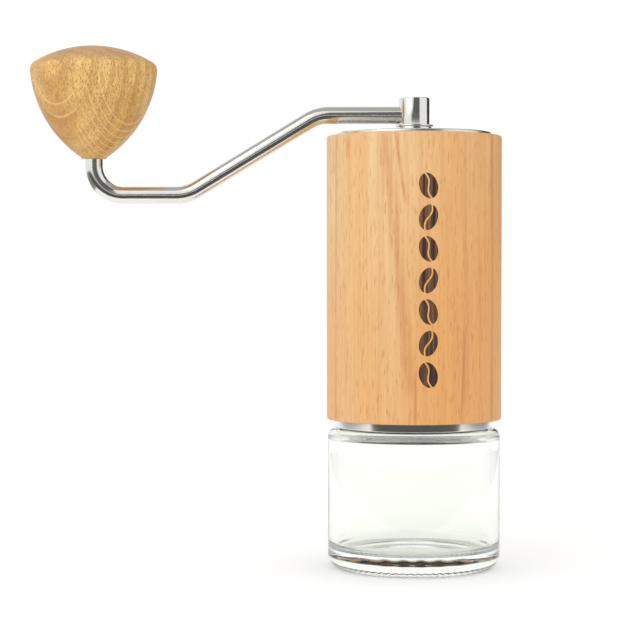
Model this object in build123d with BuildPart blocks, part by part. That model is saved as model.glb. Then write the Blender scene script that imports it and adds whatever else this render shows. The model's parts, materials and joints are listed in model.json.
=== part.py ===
from build123d import *

import os
from math import cos, pi, radians, sin, tan

os.makedirs("parts", exist_ok=True)

# Hand crank coffee grinder, in millimetres, +Z up.
# The origin is the centre of the jar's foot, and heights build up from there.
# The crank reaches out along -X.

# ---- fits ----

running_gap = 0.05  # radial, a shaft turning in its bore
face_gap = 0.1  # axial, faces that turn on each other
pass_gap = 0.3  # pieces that pass each other without touching
groove_play = 0.1  # a snap ring's groove is this much taller than the ring

# ---- jar ----

jar_height = 47.7  # foot to shoulder
jar_wall = 3.0
jar_floor = 6.5
jar_setback = 0.4  # the jar's side stands in from the body's
jar_shoulder_round = 2.6
jar_heel_height = 4.6
jar_heel_round = 5.1
jar_foot_inset = 3.4
neck_wall = 2.2
neck_height = 12.7
neck_lip_round = 0.55

# ---- jar thread ----

thread_pitch = 4.0
thread_turns = 1.5
thread_depth = 1.0
thread_crest = 1.0
thread_root = 1.6
thread_play = 0.5  # crest to opposite wall
thread_start = 2.0  # above the frame's foot
thread_angle = 40.0  # where the ridges begin, from +X

# ---- body ----

body_diameter = 60.0
sleeve_height = 97.0
sleeve_wall = 3.0
sleeve_chamfer = 0.5
tube_wall = 1.2
tube_reveal = 2.8  # bright band below the sleeve
tube_foot_gap = 0.5  # above the jar's shoulder
seal_height = 1.1
seal_width = 2.5

# ---- burr frame ----

frame_wall = 1.7
frame_thread_room = 17.0
frame_ring_wall = 6.3
frame_lip_height = 2.0
frame_lip_reach = 2.0
funnel_height = 11.0
funnel_edge = 1.2
arm_width = 5.0
arm_height = 7.0
arm_count = 3
arm_angle = 90.0  # of the first arm, from +X

# ---- bearings and their seats ----

bearing_bore = 8.0
bearing_diameter = 16.0
bearing_height = 5.0
race_share = 0.35  # each race's wall, of the section between bore and outside
ball_share = 0.575  # ball's diameter, of that section
ball_count = 8
cage_share = 0.125  # cage's wall, of that section
cage_height = 3.2
hub_wall = 2.8
hub_lip_height = 2.0
hub_lip_opening = 12.8
clip_height = 0.8
clip_groove_depth = 0.5
clip_width = 1.5

# ---- upper bridge ----

bridge_drop = 32.0  # tube top to the bridge's foot
bridge_height = 11.0
bridge_rim_wall = 2.2

# ---- burrs ----

ring_burr_height = 18.0
land_height = 6.0
land_angle = 20.0
land_wall = 3.5  # ring burr's wall at its foot
ring_mouth_wall = 2.7  # ring burr's wall at its top
rest_gap = 1.05  # axial opening of the burrs as stored
fine_tooth_count = 36
fine_tooth_depth = 0.6
fine_land_steps = 1
coarse_tooth_count = 7
coarse_land_steps = 6
coarse_bore_depth = 1.3
coarse_cone_depth = 1.7
tooth_land_share = 0.55  # of each tooth's pitch
tooth_skew = 18.0
cone_height = 15.4
cone_foot_drop = 1.4  # cone's foot below the ring's foot
cone_top_radius = 7.2
cone_foot_chamfer = 0.5
cone_foot_step = 0.9
screw_diameter = 3.0
screw_length = 10.0
screw_head_diameter = 4.9
screw_head_height = 2.0
screw_socket = 1.5  # across flats
screw_overlap = 0.45  # head over the ring burr's edge
screw_count = 3
screw_angle = 30.0  # of the first screw, midway between two arms

# ---- axle, its pin and spring ----

axle_below_dial = 1.4
hex_flats = 6.0
hex_gap = 0.05
hex_top_room = 0.4
axle_chamfer = 0.5
pin_diameter = 2.5
pin_length = 12.0
pin_drop = 2.5  # below the cone burr's top
slot_side_gap = 0.05
slot_depth = 4.7
slot_end_gap = 0.5
spring_wire = 1.0
spring_turns = 5
spring_washer_height = 0.55
spring_washer_radius = 6.1

# ---- dial ----

click_plate_height = 2.6
click_plate_inset = 1.0  # smaller than the dial
click_count = 12
click_depth = 0.35
peg_diameter = 2.4
peg_height = 1.4
peg_radius = 8.4
dial_diameter = 27.0
dial_height = 7.9
dial_chamfer = 0.8
dial_notch_radius = 1.6
dial_notch_offset = 0.9
insert_diameter = 12.0
insert_recess = 0.5
detent_ball_diameter = 2.0
detent_inset = 3.5
detent_pocket_depth = 4.9
detent_spring_wire = 0.2
detent_spring_turns = 6

# ---- lid ----

lid_overhang = 0.6  # past the tube's bore
lid_edge_height = 1.2
lid_rise = 0.8
lid_dome_sag = 0.28  # crown to the dome's middle
lid_skirt_height = 6.0
lid_skirt_wall = 2.3
lid_boss_radius = 9.0
lid_edge_chamfer = 0.25
bush_wall = 0.95
bush_stand = 3.3  # bush top above the tube's top
ring_section = 1.2
ring_groove_depth = 1.1
ring_groove_height = 1.5
ring_groove_rise = 2.0

# ---- crank ----

spigot_diameter = 10.0
spigot_length = 12.4
socket_depth = 11.5
hub_diameter = 10.5
hub_height = 9.3
hub_chamfer = 0.5
washer_diameter = 13.1
washer_height = 0.5
rod_diameter = 6.0
rod_rise = 3.4  # rod's centre above the hub's foot
rod_bite = 2.5  # rod's end past the hub's axis
crank_reach = 110.0
crank_drop = 27.4
upper_run = 33.0
lower_run = 32.1
knee_radius = 14.0
stem_radius = 10.0
stem_rise = 12.4  # lower run to the knob's foot

# ---- knob ----

knob_height = 38.7
knob_radius = 21.83
knob_rim_drop = 6.6
knob_dome_radius = 39.3
knob_flank_radius = 39.6
knob_rim_round = 3.0
knob_foot_radius = 4.45
knob_foot_height = 0.6
knob_bush_wall = 0.95
knob_bush_length = 26.3
knob_bore_room = 0.5
stem_end_room = 0.6  # rod's end below the bush's top
wire_ring_height = 0.6
wire_ring_depth = 0.4
wire_ring_reach = 0.45
wire_groove_play = 0.2
wire_groove_drop = 3.0  # rod's end to the ring

# ---- heights that follow, from the jar up ----

body_radius = body_diameter / 2
tube_radius = body_radius - sleeve_wall
tube_bore_radius = tube_radius - tube_wall
jar_radius = body_radius - jar_setback
tube_foot = jar_height + tube_foot_gap
sleeve_foot = tube_foot + tube_reveal
tube_top = sleeve_foot + sleeve_height

seal_foot = jar_height + face_gap
frame_foot = seal_foot + seal_height + face_gap
frame_bore_radius = tube_bore_radius - frame_wall
neck_radius = frame_bore_radius - thread_depth - thread_play
neck_bore_radius = neck_radius - neck_wall
neck_top = jar_height + neck_height

ring_foot = frame_foot + frame_thread_room
ring_top = ring_foot + ring_burr_height
ring_radius = tube_bore_radius - frame_ring_wall
lip_top = ring_top + frame_lip_height
funnel_top = lip_top + funnel_height
lip_radius = ring_radius - frame_lip_reach

bearing_radius = bearing_diameter / 2
axle_radius = bearing_bore / 2
bearing_section = bearing_radius - axle_radius
race_wall = bearing_section * race_share
ball_diameter = bearing_section * ball_share
cage_wall = bearing_section * cage_share
hub_radius = bearing_radius + hub_wall
lower_hub_foot = lip_top + hub_lip_height
lower_bearing_foot = lower_hub_foot + hub_lip_height
bridge_foot = tube_top - bridge_drop
upper_bearing_foot = bridge_foot + hub_lip_height

# ---- the burrs' working faces ----

land_slope = tan(radians(land_angle))
ring_land_foot_radius = ring_radius - land_wall
ring_land_top_radius = ring_land_foot_radius - land_height * land_slope
ring_mouth_radius = ring_radius - ring_mouth_wall
burr_gap = rest_gap * land_slope
cone_foot = ring_foot - cone_foot_drop
cone_top = cone_foot + cone_height
cone_land_foot = cone_foot + cone_foot_chamfer
cone_land_foot_radius = ring_land_foot_radius + (ring_foot - cone_land_foot) * land_slope - burr_gap
cone_land_top = ring_foot + land_height
cone_land_top_radius = ring_land_top_radius - burr_gap

# ---- the dial's stack, down from the cone burr ----

click_plate_foot = cone_foot - click_plate_height
dial_top = click_plate_foot - face_gap
dial_foot = dial_top - dial_height
dial_radius = dial_diameter / 2
detent_circle = dial_radius - detent_inset
detent_ball_radius = detent_ball_diameter / 2
axle_foot = dial_foot - axle_below_dial

# ---- the lid's and crank's stack ----

skirt_radius = tube_bore_radius - pass_gap
skirt_foot = tube_top - lid_skirt_height
spigot_radius = spigot_diameter / 2
bush_bore_radius = spigot_radius + running_gap
bush_radius = bush_bore_radius + bush_wall
bush_top = tube_top + bush_stand
washer_foot = bush_top + face_gap
hub_foot = washer_foot + washer_height
spigot_foot = hub_foot - spigot_length
socket_top = spigot_foot + socket_depth
hex_foot = spigot_foot - pass_gap
hex_top = socket_top - hex_top_room
rod_radius = rod_diameter / 2
rod_height = hub_foot + rod_rise
lower_rod_height = rod_height - crank_drop
knob_foot = lower_rod_height + stem_rise
knob_top = knob_foot + knob_height
knob_bush_bore_radius = rod_radius + running_gap
knob_bush_radius = knob_bush_bore_radius + knob_bush_wall
knob_bush_top = knob_foot + knob_bush_length
rod_end = knob_bush_top - stem_end_room
wire_ring_foot = rod_end - wire_groove_drop
knob_plane = Plane.XY.move(Location((-crank_reach, 0, 0)))

# ---- shapes that repeat ----


def ring(outer, inner, foot, height, mode=Mode.ADD, base=Plane.XY):
    """A round ring, or a disc where inner is zero, standing on its foot."""
    with BuildSketch(base.offset(foot)) as face:
        Circle(outer)
        if inner > 0:
            Circle(inner, mode=Mode.SUBTRACT)
    extrude(face.sketch, amount=height, mode=mode)


def turned(points, rounds=(), mode=Mode.ADD):
    """A solid turned from a half outline of (radius, height) points; rounds are (point, radius)."""
    with BuildSketch(Plane.XZ) as outline:
        with BuildLine():
            Polyline(*points, close=True)
        make_face()
        for point, radius in rounds:
            fillet(outline.vertices().sort_by_distance(point)[0], radius)
    revolve(outline.sketch, axis=Axis.Z, mode=mode)


def helix_ridge(radius, depth, foot, tip):
    """A right-hand screw ridge on a wall of the given radius, outward or inward."""
    path = Edge.make_helix(thread_pitch, thread_pitch * thread_turns, radius, center=(0, 0, foot))
    path = path.rotate(Axis.Z, thread_angle)
    outward = Vector(1, 0, 0).rotate(Axis.Z, thread_angle)
    start = Plane(origin=path @ 0, x_dir=outward, z_dir=path % 0)
    with BuildSketch(start) as section:
        with BuildLine():
            Polyline(
                (-tip * thread_play, -thread_root / 2),
                (-tip * thread_play, thread_root / 2),
                (tip * depth, thread_crest / 2),
                (tip * depth, -thread_crest / 2),
                close=True,
            )
        make_face()
    sweep(section.sketch, path=path, is_frenet=True)


def toothed_face(height, radius, depth, count, land_steps, turn):
    """A round outline with V grooves, outward of a bore or, with a negative depth, into a cone."""
    pitch_angle = 2 * pi / count
    land = pitch_angle * tooth_land_share
    points = []
    for index in range(count):
        start = pitch_angle * index + turn
        for step in range(land_steps + 1):
            angle = start + land * step / land_steps
            points.append((radius * cos(angle), radius * sin(angle)))
        groove = start + (land + pitch_angle) / 2
        points.append(((radius + depth) * cos(groove), (radius + depth) * sin(groove)))
    with BuildSketch(Plane.XY.offset(height)) as face:
        with BuildLine():
            Polyline(*points, close=True)
        make_face()
    return face.sketch


def toothed_cone(foot, top, depths, count, land_steps, mode=Mode.ADD):
    """A skew-toothed cone from foot to top, both (radius, height), with a groove depth at each."""
    lean = tan(radians(tooth_skew)) * (top[1] - foot[1])
    turn = lean * 2 / (foot[0] + top[0])
    lower = toothed_face(foot[1], foot[0], depths[0], count, land_steps, 0)
    upper = toothed_face(top[1], top[0], depths[1], count, land_steps, turn)
    loft([lower, upper], ruled=True, mode=mode)


def snap_ring(inner, outer, foot, height, opening, base=Plane.XY):
    """A flat ring with a gap on its +X side."""
    ring(outer, inner, foot, height, base=base)
    with BuildSketch(base.offset(foot)) as gap:
        with Locations((outer, 0)):
            Rectangle(outer * 2, opening)
    extrude(gap.sketch, amount=height, mode=Mode.SUBTRACT)


def spider_arms(foot, reach):
    """Arms from a bearing hub out to a rim."""
    inner = bearing_radius + hub_wall / 2
    with BuildSketch(Plane.XY.offset(foot)) as arms:
        with PolarLocations(0, arm_count, start_angle=arm_angle):
            with Locations(((inner + reach) / 2, 0)):
                Rectangle(reach - inner, arm_width)
    extrude(arms.sketch, amount=arm_height)


def bearing_hub(foot, height):
    """A hub with a seat for a bearing and a groove for its snap ring."""
    seat = foot + hub_lip_height
    ring(hub_radius, 0, foot, height)
    ring(hub_lip_opening / 2, 0, foot, height, mode=Mode.SUBTRACT)
    ring(bearing_radius, 0, seat, height - hub_lip_height, mode=Mode.SUBTRACT)
    groove_radius = bearing_radius + clip_groove_depth
    ring(groove_radius, 0, seat + bearing_height, clip_height + groove_play, mode=Mode.SUBTRACT)


# ---- wood sleeve ----

with BuildPart() as wood_sleeve:
    ring(body_radius, tube_radius, sleeve_foot, sleeve_height)
    rims = wood_sleeve.edges().filter_by(GeomType.CIRCLE).group_by(SortBy.RADIUS)[-1]
    chamfer(rims, sleeve_chamfer)
wood_sleeve.part.label = "wood_sleeve"
export_step(wood_sleeve.part, "parts/wood_sleeve.step")

# ---- steel tube inside it ----

with BuildPart() as steel_tube:
    ring(tube_radius, tube_bore_radius, tube_foot, tube_top - tube_foot)
steel_tube.part.label = "steel_tube"
export_step(steel_tube.part, "parts/steel_tube.step")

# ---- jar ----

neck_root = jar_height - jar_wall
jar_foot_radius = jar_radius - jar_foot_inset
with BuildPart() as jar_glass:
    with BuildSketch(Plane.XZ) as jar_outline:
        with BuildLine():
            heel = RadiusArc((jar_foot_radius, 0), (jar_radius, jar_heel_height), -jar_heel_round)
            Polyline(
                heel @ 1,
                (jar_radius, jar_height),
                (neck_radius, jar_height),
                (neck_radius, neck_top),
                (0, neck_top),
                (0, 0),
                (jar_foot_radius, 0),
            )
        make_face()
        fillet(jar_outline.vertices().sort_by_distance((jar_radius, jar_height))[0], jar_shoulder_round)
    revolve(axis=Axis.Z)
    inner_radius = jar_radius - jar_wall
    turned(
        [
            (0, jar_floor),
            (inner_radius, jar_floor),
            (inner_radius, neck_root),
            (neck_bore_radius, neck_root),
            (neck_bore_radius, neck_top),
            (0, neck_top),
        ],
        rounds=[
            ((inner_radius, jar_floor), jar_wall),
            ((inner_radius, neck_root), jar_shoulder_round),
            ((neck_bore_radius, neck_root), jar_shoulder_round),
        ],
        mode=Mode.SUBTRACT,
    )
    lip_edges = jar_glass.edges().filter_by(GeomType.CIRCLE).group_by(Axis.Z)[-1]
    fillet(lip_edges, neck_lip_round)
    helix_ridge(neck_radius, thread_depth, frame_foot + thread_start + thread_pitch / 2, 1)
jar_glass.part.label = "jar_glass"
export_step(jar_glass.part, "parts/jar_glass.step")

# ---- jar seal ----

with BuildPart() as jar_seal:
    seal_inner = neck_radius + pass_gap
    ring(seal_inner + seal_width, seal_inner, seal_foot, seal_height)
jar_seal.part.label = "jar_seal"
export_step(jar_seal.part, "parts/jar_seal.step")

# ---- burr frame ----

screw_circle = ring_radius + screw_head_diameter / 2 - screw_overlap
with BuildPart() as burr_frame:
    turned(
        [
            (frame_bore_radius, frame_foot),
            (tube_bore_radius, frame_foot),
            (tube_bore_radius, funnel_top),
            (tube_bore_radius - funnel_edge, funnel_top),
            (lip_radius, lip_top),
            (lip_radius, ring_top),
            (ring_radius, ring_top),
            (ring_radius, ring_foot),
            (frame_bore_radius, ring_foot),
        ]
    )
    spider_arms(lower_bearing_foot, tube_bore_radius - funnel_edge / 2)
    bearing_hub(lower_hub_foot, funnel_top - lower_hub_foot)
    with BuildSketch(Plane.XY.offset(ring_foot)) as screw_holes:
        with PolarLocations(screw_circle, screw_count, start_angle=screw_angle):
            Circle(screw_diameter / 2 + running_gap)
    extrude(screw_holes.sketch, amount=screw_length, mode=Mode.SUBTRACT)
    helix_ridge(frame_bore_radius, thread_depth, frame_foot + thread_start, -1)
burr_frame.part.label = "burr_frame"
export_step(burr_frame.part, "parts/burr_frame.step")

# ---- ring burr and its screws ----

with BuildPart() as ring_burr:
    ring(ring_radius, 0, ring_foot, ring_burr_height)
    ring_throat = (ring_land_top_radius, ring_foot + land_height)
    toothed_cone(
        (ring_land_foot_radius, ring_foot),
        ring_throat,
        (fine_tooth_depth, fine_tooth_depth),
        fine_tooth_count,
        fine_land_steps,
        mode=Mode.SUBTRACT,
    )
    toothed_cone(
        ring_throat,
        (ring_mouth_radius, ring_top),
        (fine_tooth_depth, coarse_bore_depth),
        coarse_tooth_count,
        coarse_land_steps,
        mode=Mode.SUBTRACT,
    )
ring_burr.part.label = "ring_burr"
export_step(ring_burr.part, "parts/ring_burr.step")

with BuildPart() as ring_burr_screws:
    with BuildSketch(Plane.XY.offset(ring_foot)):
        with PolarLocations(screw_circle, screw_count, start_angle=screw_angle):
            Circle(screw_diameter / 2)
    extrude(amount=screw_length - face_gap)
    with BuildSketch(Plane.XY.offset(ring_foot - screw_head_height)):
        with PolarLocations(screw_circle, screw_count, start_angle=screw_angle):
            Circle(screw_head_diameter / 2)
    extrude(amount=screw_head_height)
    with BuildSketch(Plane.XY.offset(ring_foot - screw_head_height)):
        with PolarLocations(screw_circle, screw_count, start_angle=screw_angle):
            RegularPolygon(screw_socket / 2, 6, major_radius=False)
    extrude(amount=screw_head_height / 2, mode=Mode.SUBTRACT)
ring_burr_screws.part.label = "ring_burr_screws"
export_step(ring_burr_screws.part, "parts/ring_burr_screws.step")

# ---- upper bridge ----

with BuildPart() as upper_bridge:
    ring(tube_bore_radius, tube_bore_radius - bridge_rim_wall, bridge_foot, bridge_height)
    spider_arms(upper_bearing_foot, tube_bore_radius - bridge_rim_wall / 2)
    bearing_hub(bridge_foot, bridge_height)
upper_bridge.part.label = "upper_bridge"
export_step(upper_bridge.part, "parts/upper_bridge.step")

# ---- bearings, one in each hub ----

ball_circle = (bearing_radius + axle_radius) / 2
for place, foot in (("upper", upper_bearing_foot), ("lower", lower_bearing_foot)):
    ball_plane = Plane.XY.offset(foot + bearing_height / 2)
    with BuildPart() as bearing_outer:
        ring(bearing_radius, bearing_radius - race_wall, foot, bearing_height)
        with Locations(ball_plane):
            Torus(ball_circle, ball_diameter / 2 + running_gap, mode=Mode.SUBTRACT)
    bearing_outer.part.label = f"{place}_bearing_outer"
    export_step(bearing_outer.part, f"parts/{place}_bearing_outer.step")

    with BuildPart() as bearing_inner:
        ring(axle_radius + race_wall, axle_radius, foot, bearing_height)
        with Locations(ball_plane):
            Torus(ball_circle, ball_diameter / 2 + running_gap, mode=Mode.SUBTRACT)
    bearing_inner.part.label = f"{place}_bearing_inner"
    export_step(bearing_inner.part, f"parts/{place}_bearing_inner.step")

    with BuildPart() as bearing_cage:
        cage_foot = foot + (bearing_height - cage_height) / 2
        ring(ball_circle + cage_wall / 2, ball_circle - cage_wall / 2, cage_foot, cage_height)
        ball_height = foot + bearing_height / 2
        ball_turns = [2 * pi * index / ball_count for index in range(ball_count)]
        pocket_axes = [Vector(cos(turn), sin(turn), 0) for turn in ball_turns]
        with BuildSketch(*[Plane(origin=(0, 0, ball_height), z_dir=axis) for axis in pocket_axes]):
            Circle(ball_diameter / 2 + running_gap)
        extrude(amount=bearing_radius, mode=Mode.SUBTRACT)
    bearing_cage.part.label = f"{place}_bearing_cage"
    export_step(bearing_cage.part, f"parts/{place}_bearing_cage.step")

    with BuildPart() as bearing_balls:
        with Locations(ball_plane):
            with PolarLocations(ball_circle, ball_count):
                Sphere(ball_diameter / 2)
    bearing_balls.part.label = f"{place}_bearing_balls"
    export_step(bearing_balls.part, f"parts/{place}_bearing_balls.step")

    with BuildPart() as bearing_clip:
        clip_radius = bearing_radius + clip_groove_depth - running_gap
        snap_ring(clip_radius - clip_width, clip_radius, foot + bearing_height, clip_height, clip_width * 2)
    bearing_clip.part.label = f"{place}_bearing_clip"
    export_step(bearing_clip.part, f"parts/{place}_bearing_clip.step")

# ---- axle ----

pin_height = cone_top - pin_drop
upper_clip_foot = upper_bearing_foot + bearing_height
lower_clip_foot = lower_bearing_foot - clip_height
with BuildPart() as axle:
    ring(axle_radius, 0, axle_foot, hex_foot - axle_foot)
    chamfer(axle.edges().group_by(Axis.Z)[0], axle_chamfer)
    with BuildSketch(Plane.XY.offset(hex_foot)):
        RegularPolygon(hex_flats / 2, 6, major_radius=False)
    extrude(amount=hex_top - hex_foot)
    chamfer(axle.edges().group_by(Axis.Z)[-1], axle_chamfer)
    for groove_foot in (upper_clip_foot, lower_clip_foot - groove_play):
        groove_height = clip_height + groove_play
        ring(axle_radius * 2, axle_radius - clip_groove_depth, groove_foot, groove_height, mode=Mode.SUBTRACT)
    with BuildSketch(Plane.YZ.offset(-axle_radius)):
        with Locations((0, pin_height)):
            Circle(pin_diameter / 2)
    extrude(amount=axle_radius * 2, mode=Mode.SUBTRACT)
axle.part.label = "axle"
export_step(axle.part, "parts/axle.step")

with BuildPart() as axle_clips:
    clip_bore = axle_radius - clip_groove_depth + running_gap
    for clip_foot in (upper_clip_foot, lower_clip_foot):
        snap_ring(clip_bore, clip_bore + clip_width, clip_foot, clip_height, clip_bore)
axle_clips.part.label = "axle_clips"
export_step(axle_clips.part, "parts/axle_clips.step")

with BuildPart() as drive_pin:
    with BuildSketch(Plane.YZ.offset(-pin_length / 2)):
        with Locations((0, pin_height)):
            Circle(pin_diameter / 2)
    extrude(amount=pin_length)
drive_pin.part.label = "drive_pin"
export_step(drive_pin.part, "parts/drive_pin.step")

# ---- cone burr ----

peg_foot = cone_foot
with BuildPart() as cone_burr:
    slide_radius = axle_radius + running_gap
    cone_throat = (cone_land_top_radius, cone_land_top)
    ring(cone_land_foot_radius - cone_foot_step, 0, cone_foot, cone_foot_chamfer)
    toothed_cone(
        (cone_land_foot_radius, cone_land_foot),
        cone_throat,
        (-fine_tooth_depth, -fine_tooth_depth),
        fine_tooth_count - 1,
        fine_land_steps,
    )
    toothed_cone(
        cone_throat,
        (cone_top_radius, cone_top),
        (-fine_tooth_depth, -coarse_cone_depth),
        coarse_tooth_count - 1,
        coarse_land_steps,
    )
    ring(slide_radius, 0, cone_foot, cone_height, mode=Mode.SUBTRACT)
    with BuildSketch(Plane.XY.offset(cone_top)):
        Rectangle(pin_length + slot_end_gap * 2, pin_diameter + slot_side_gap * 2)
    extrude(amount=-slot_depth, mode=Mode.SUBTRACT)
    with BuildSketch(Plane.XY.offset(cone_foot)):
        with PolarLocations(peg_radius, 2):
            Circle(peg_diameter / 2 + running_gap)
    extrude(amount=peg_height + face_gap, mode=Mode.SUBTRACT)
cone_burr.part.label = "cone_burr"
export_step(cone_burr.part, "parts/cone_burr.step")

# ---- spring over the cone burr, and its washer ----

washer_top = lower_clip_foot
spring_top = washer_top - spring_washer_height
with BuildPart() as spring_washer:
    ring(spring_washer_radius, axle_radius + running_gap, spring_top, spring_washer_height)
spring_washer.part.label = "spring_washer"
export_step(spring_washer.part, "parts/spring_washer.step")


def coil(centre_x, mean_radius, wire, foot, top, turns):
    """A round-wire compression spring standing between foot and top."""
    height = top - foot - wire
    start = (centre_x, 0, foot + wire / 2)
    path = Edge.make_helix(height / turns, height, mean_radius, center=start)
    with BuildSketch(Plane(origin=path @ 0, x_dir=(1, 0, 0), z_dir=path % 0)) as section:
        Circle(wire / 2)
    sweep(section.sketch, path=path, is_frenet=True)


with BuildPart() as burr_spring:
    spring_radius = axle_radius + pass_gap + spring_wire / 2
    coil(0, spring_radius, spring_wire, cone_top, spring_top, spring_turns)
burr_spring.part.label = "burr_spring"
export_step(burr_spring.part, "parts/burr_spring.step")

# ---- click plate ----

with BuildPart() as click_plate:
    ring(dial_radius - click_plate_inset, axle_radius + running_gap, click_plate_foot, click_plate_height)
    with BuildSketch(Plane.XY.offset(peg_foot)):
        with PolarLocations(peg_radius, 2):
            Circle(peg_diameter / 2)
    extrude(amount=peg_height)
    dimple_plane = Plane.XY.offset(click_plate_foot - detent_ball_radius + click_depth)
    with Locations(dimple_plane):
        with PolarLocations(detent_circle, click_count):
            Sphere(detent_ball_radius, mode=Mode.SUBTRACT)
click_plate.part.label = "click_plate"
export_step(click_plate.part, "parts/click_plate.step")

# ---- dial, with its brass insert, balls and springs ----

insert_radius = insert_diameter / 2
pocket_radius = detent_ball_radius + running_gap
pocket_foot = dial_top - detent_pocket_depth
with BuildPart() as dial:
    ring(dial_radius, insert_radius, dial_foot, dial_height)
    dial_rims = dial.edges().filter_by(GeomType.CIRCLE).group_by(SortBy.RADIUS)[-1]
    chamfer(dial_rims, dial_chamfer)
    with BuildSketch(Plane.XY.offset(dial_foot)):
        with PolarLocations(dial_radius + dial_notch_offset, click_count, start_angle=180 / click_count):
            Circle(dial_notch_radius)
    extrude(amount=dial_height, mode=Mode.SUBTRACT)
    with BuildSketch(Plane.XY.offset(dial_top)):
        with PolarLocations(detent_circle, 2):
            Circle(pocket_radius)
    extrude(amount=-detent_pocket_depth, mode=Mode.SUBTRACT)
dial.part.label = "dial"
export_step(dial.part, "parts/dial.step")

with BuildPart() as dial_insert:
    insert_foot = dial_foot + insert_recess
    ring(insert_radius, axle_radius + running_gap, insert_foot, dial_height - insert_recess * 2)
dial_insert.part.label = "dial_insert"
export_step(dial_insert.part, "parts/dial_insert.step")

with BuildPart() as detent_balls:
    with Locations(Plane.XY.offset(dial_top - detent_ball_radius)):
        with PolarLocations(detent_circle, 2):
            Sphere(detent_ball_radius)
detent_balls.part.label = "detent_balls"
export_step(detent_balls.part, "parts/detent_balls.step")

with BuildPart() as detent_springs:
    detent_spring_radius = pocket_radius - detent_spring_wire
    detent_spring_top = dial_top - detent_ball_diameter
    for centre_x in (-detent_circle, detent_circle):
        coil(
            centre_x,
            detent_spring_radius,
            detent_spring_wire,
            pocket_foot,
            detent_spring_top,
            detent_spring_turns,
        )
detent_springs.part.label = "detent_springs"
export_step(detent_springs.part, "parts/detent_springs.step")

# ---- lid, its bush and its rubber ring ----

lid_radius = tube_bore_radius + lid_overhang
lid_crown = tube_top + lid_edge_height + lid_rise
ring_groove_foot = skirt_foot + ring_groove_rise
with BuildPart() as lid:
    with BuildSketch(Plane.XZ):
        with BuildLine():
            Line((bush_radius, skirt_foot), (bush_radius, lid_crown))
            Line((bush_radius, lid_crown), (lid_boss_radius, lid_crown))
            dome = ThreePointArc(
                (lid_boss_radius, lid_crown),
                ((lid_boss_radius + lid_radius) / 2, lid_crown - lid_dome_sag),
                (lid_radius - lid_edge_chamfer, tube_top + lid_edge_height),
            )
            Polyline(
                dome @ 1,
                (lid_radius, tube_top + lid_edge_height - lid_edge_chamfer),
                (lid_radius, tube_top),
                (skirt_radius, tube_top),
                (skirt_radius, skirt_foot),
                (skirt_radius - lid_skirt_wall, skirt_foot),
                (skirt_radius - lid_skirt_wall, tube_top),
                (lid_boss_radius, tube_top),
                (lid_boss_radius, skirt_foot),
                (bush_radius, skirt_foot),
            )
        make_face()
    revolve(axis=Axis.Z)
    groove_bottom = skirt_radius - ring_groove_depth
    ring(skirt_radius + pass_gap, groove_bottom, ring_groove_foot, ring_groove_height, mode=Mode.SUBTRACT)
lid.part.label = "lid"
export_step(lid.part, "parts/lid.step")

with BuildPart() as lid_bush:
    ring(bush_radius, bush_bore_radius, skirt_foot, bush_top - skirt_foot)
lid_bush.part.label = "lid_bush"
export_step(lid_bush.part, "parts/lid_bush.step")

with BuildPart() as lid_ring:
    with Locations(Plane.XY.offset(ring_groove_foot + ring_groove_height / 2)):
        Torus(groove_bottom + ring_section / 2, ring_section / 2)
lid_ring.part.label = "lid_ring"
export_step(lid_ring.part, "parts/lid_ring.step")

# ---- crank hub, washer and clip ----

crank_clip_foot = skirt_foot - face_gap - clip_height
with BuildPart() as crank_hub:
    ring(spigot_radius, 0, spigot_foot, spigot_length)
    ring(hub_diameter / 2, 0, hub_foot, hub_height)
    chamfer(crank_hub.edges().group_by(Axis.Z)[-1], hub_chamfer)
    with BuildSketch(Plane.XY.offset(spigot_foot)):
        RegularPolygon(hex_flats / 2 + hex_gap, 6, major_radius=False)
    extrude(amount=socket_depth, mode=Mode.SUBTRACT)
    clip_groove_foot = crank_clip_foot - groove_play / 2
    clip_groove_inner = spigot_radius - clip_groove_depth
    clip_groove_height = clip_height + groove_play
    ring(hub_diameter, clip_groove_inner, clip_groove_foot, clip_groove_height, mode=Mode.SUBTRACT)
    with BuildSketch(Plane.YZ.offset(rod_bite)):
        with Locations((0, rod_height)):
            Circle(rod_radius)
    extrude(amount=-hub_diameter, mode=Mode.SUBTRACT)
crank_hub.part.label = "crank_hub"
export_step(crank_hub.part, "parts/crank_hub.step")

with BuildPart() as crank_washer:
    ring(washer_diameter / 2, spigot_radius, washer_foot, washer_height)
crank_washer.part.label = "crank_washer"
export_step(crank_washer.part, "parts/crank_washer.step")

with BuildPart() as crank_clip:
    crank_clip_bore = clip_groove_inner + running_gap
    snap_ring(crank_clip_bore, crank_clip_bore + clip_width, crank_clip_foot, clip_height, spigot_radius)
crank_clip.part.label = "crank_clip"
export_step(crank_clip.part, "parts/crank_clip.step")

# ---- crank arm ----

wire_groove_foot = wire_ring_foot - wire_groove_play / 2
with BuildPart() as crank_arm:
    with BuildLine() as arm_route:
        FilletPolyline(
            (rod_bite, 0, rod_height),
            (-upper_run, 0, rod_height),
            (-crank_reach + lower_run, 0, lower_rod_height),
            (-crank_reach, 0, lower_rod_height),
            (-crank_reach, 0, rod_end),
            radius=[knee_radius, knee_radius, stem_radius],
        )
    with BuildSketch(Plane(origin=(rod_bite, 0, rod_height), x_dir=(0, 1, 0), z_dir=(-1, 0, 0))):
        Circle(rod_radius)
    sweep()
    ring(
        rod_radius * 2,
        rod_radius - wire_ring_depth,
        wire_groove_foot,
        wire_ring_height + wire_groove_play,
        mode=Mode.SUBTRACT,
        base=knob_plane,
    )
crank_arm.part.label = "crank_arm"
export_step(crank_arm.part, "parts/crank_arm.step")

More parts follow.
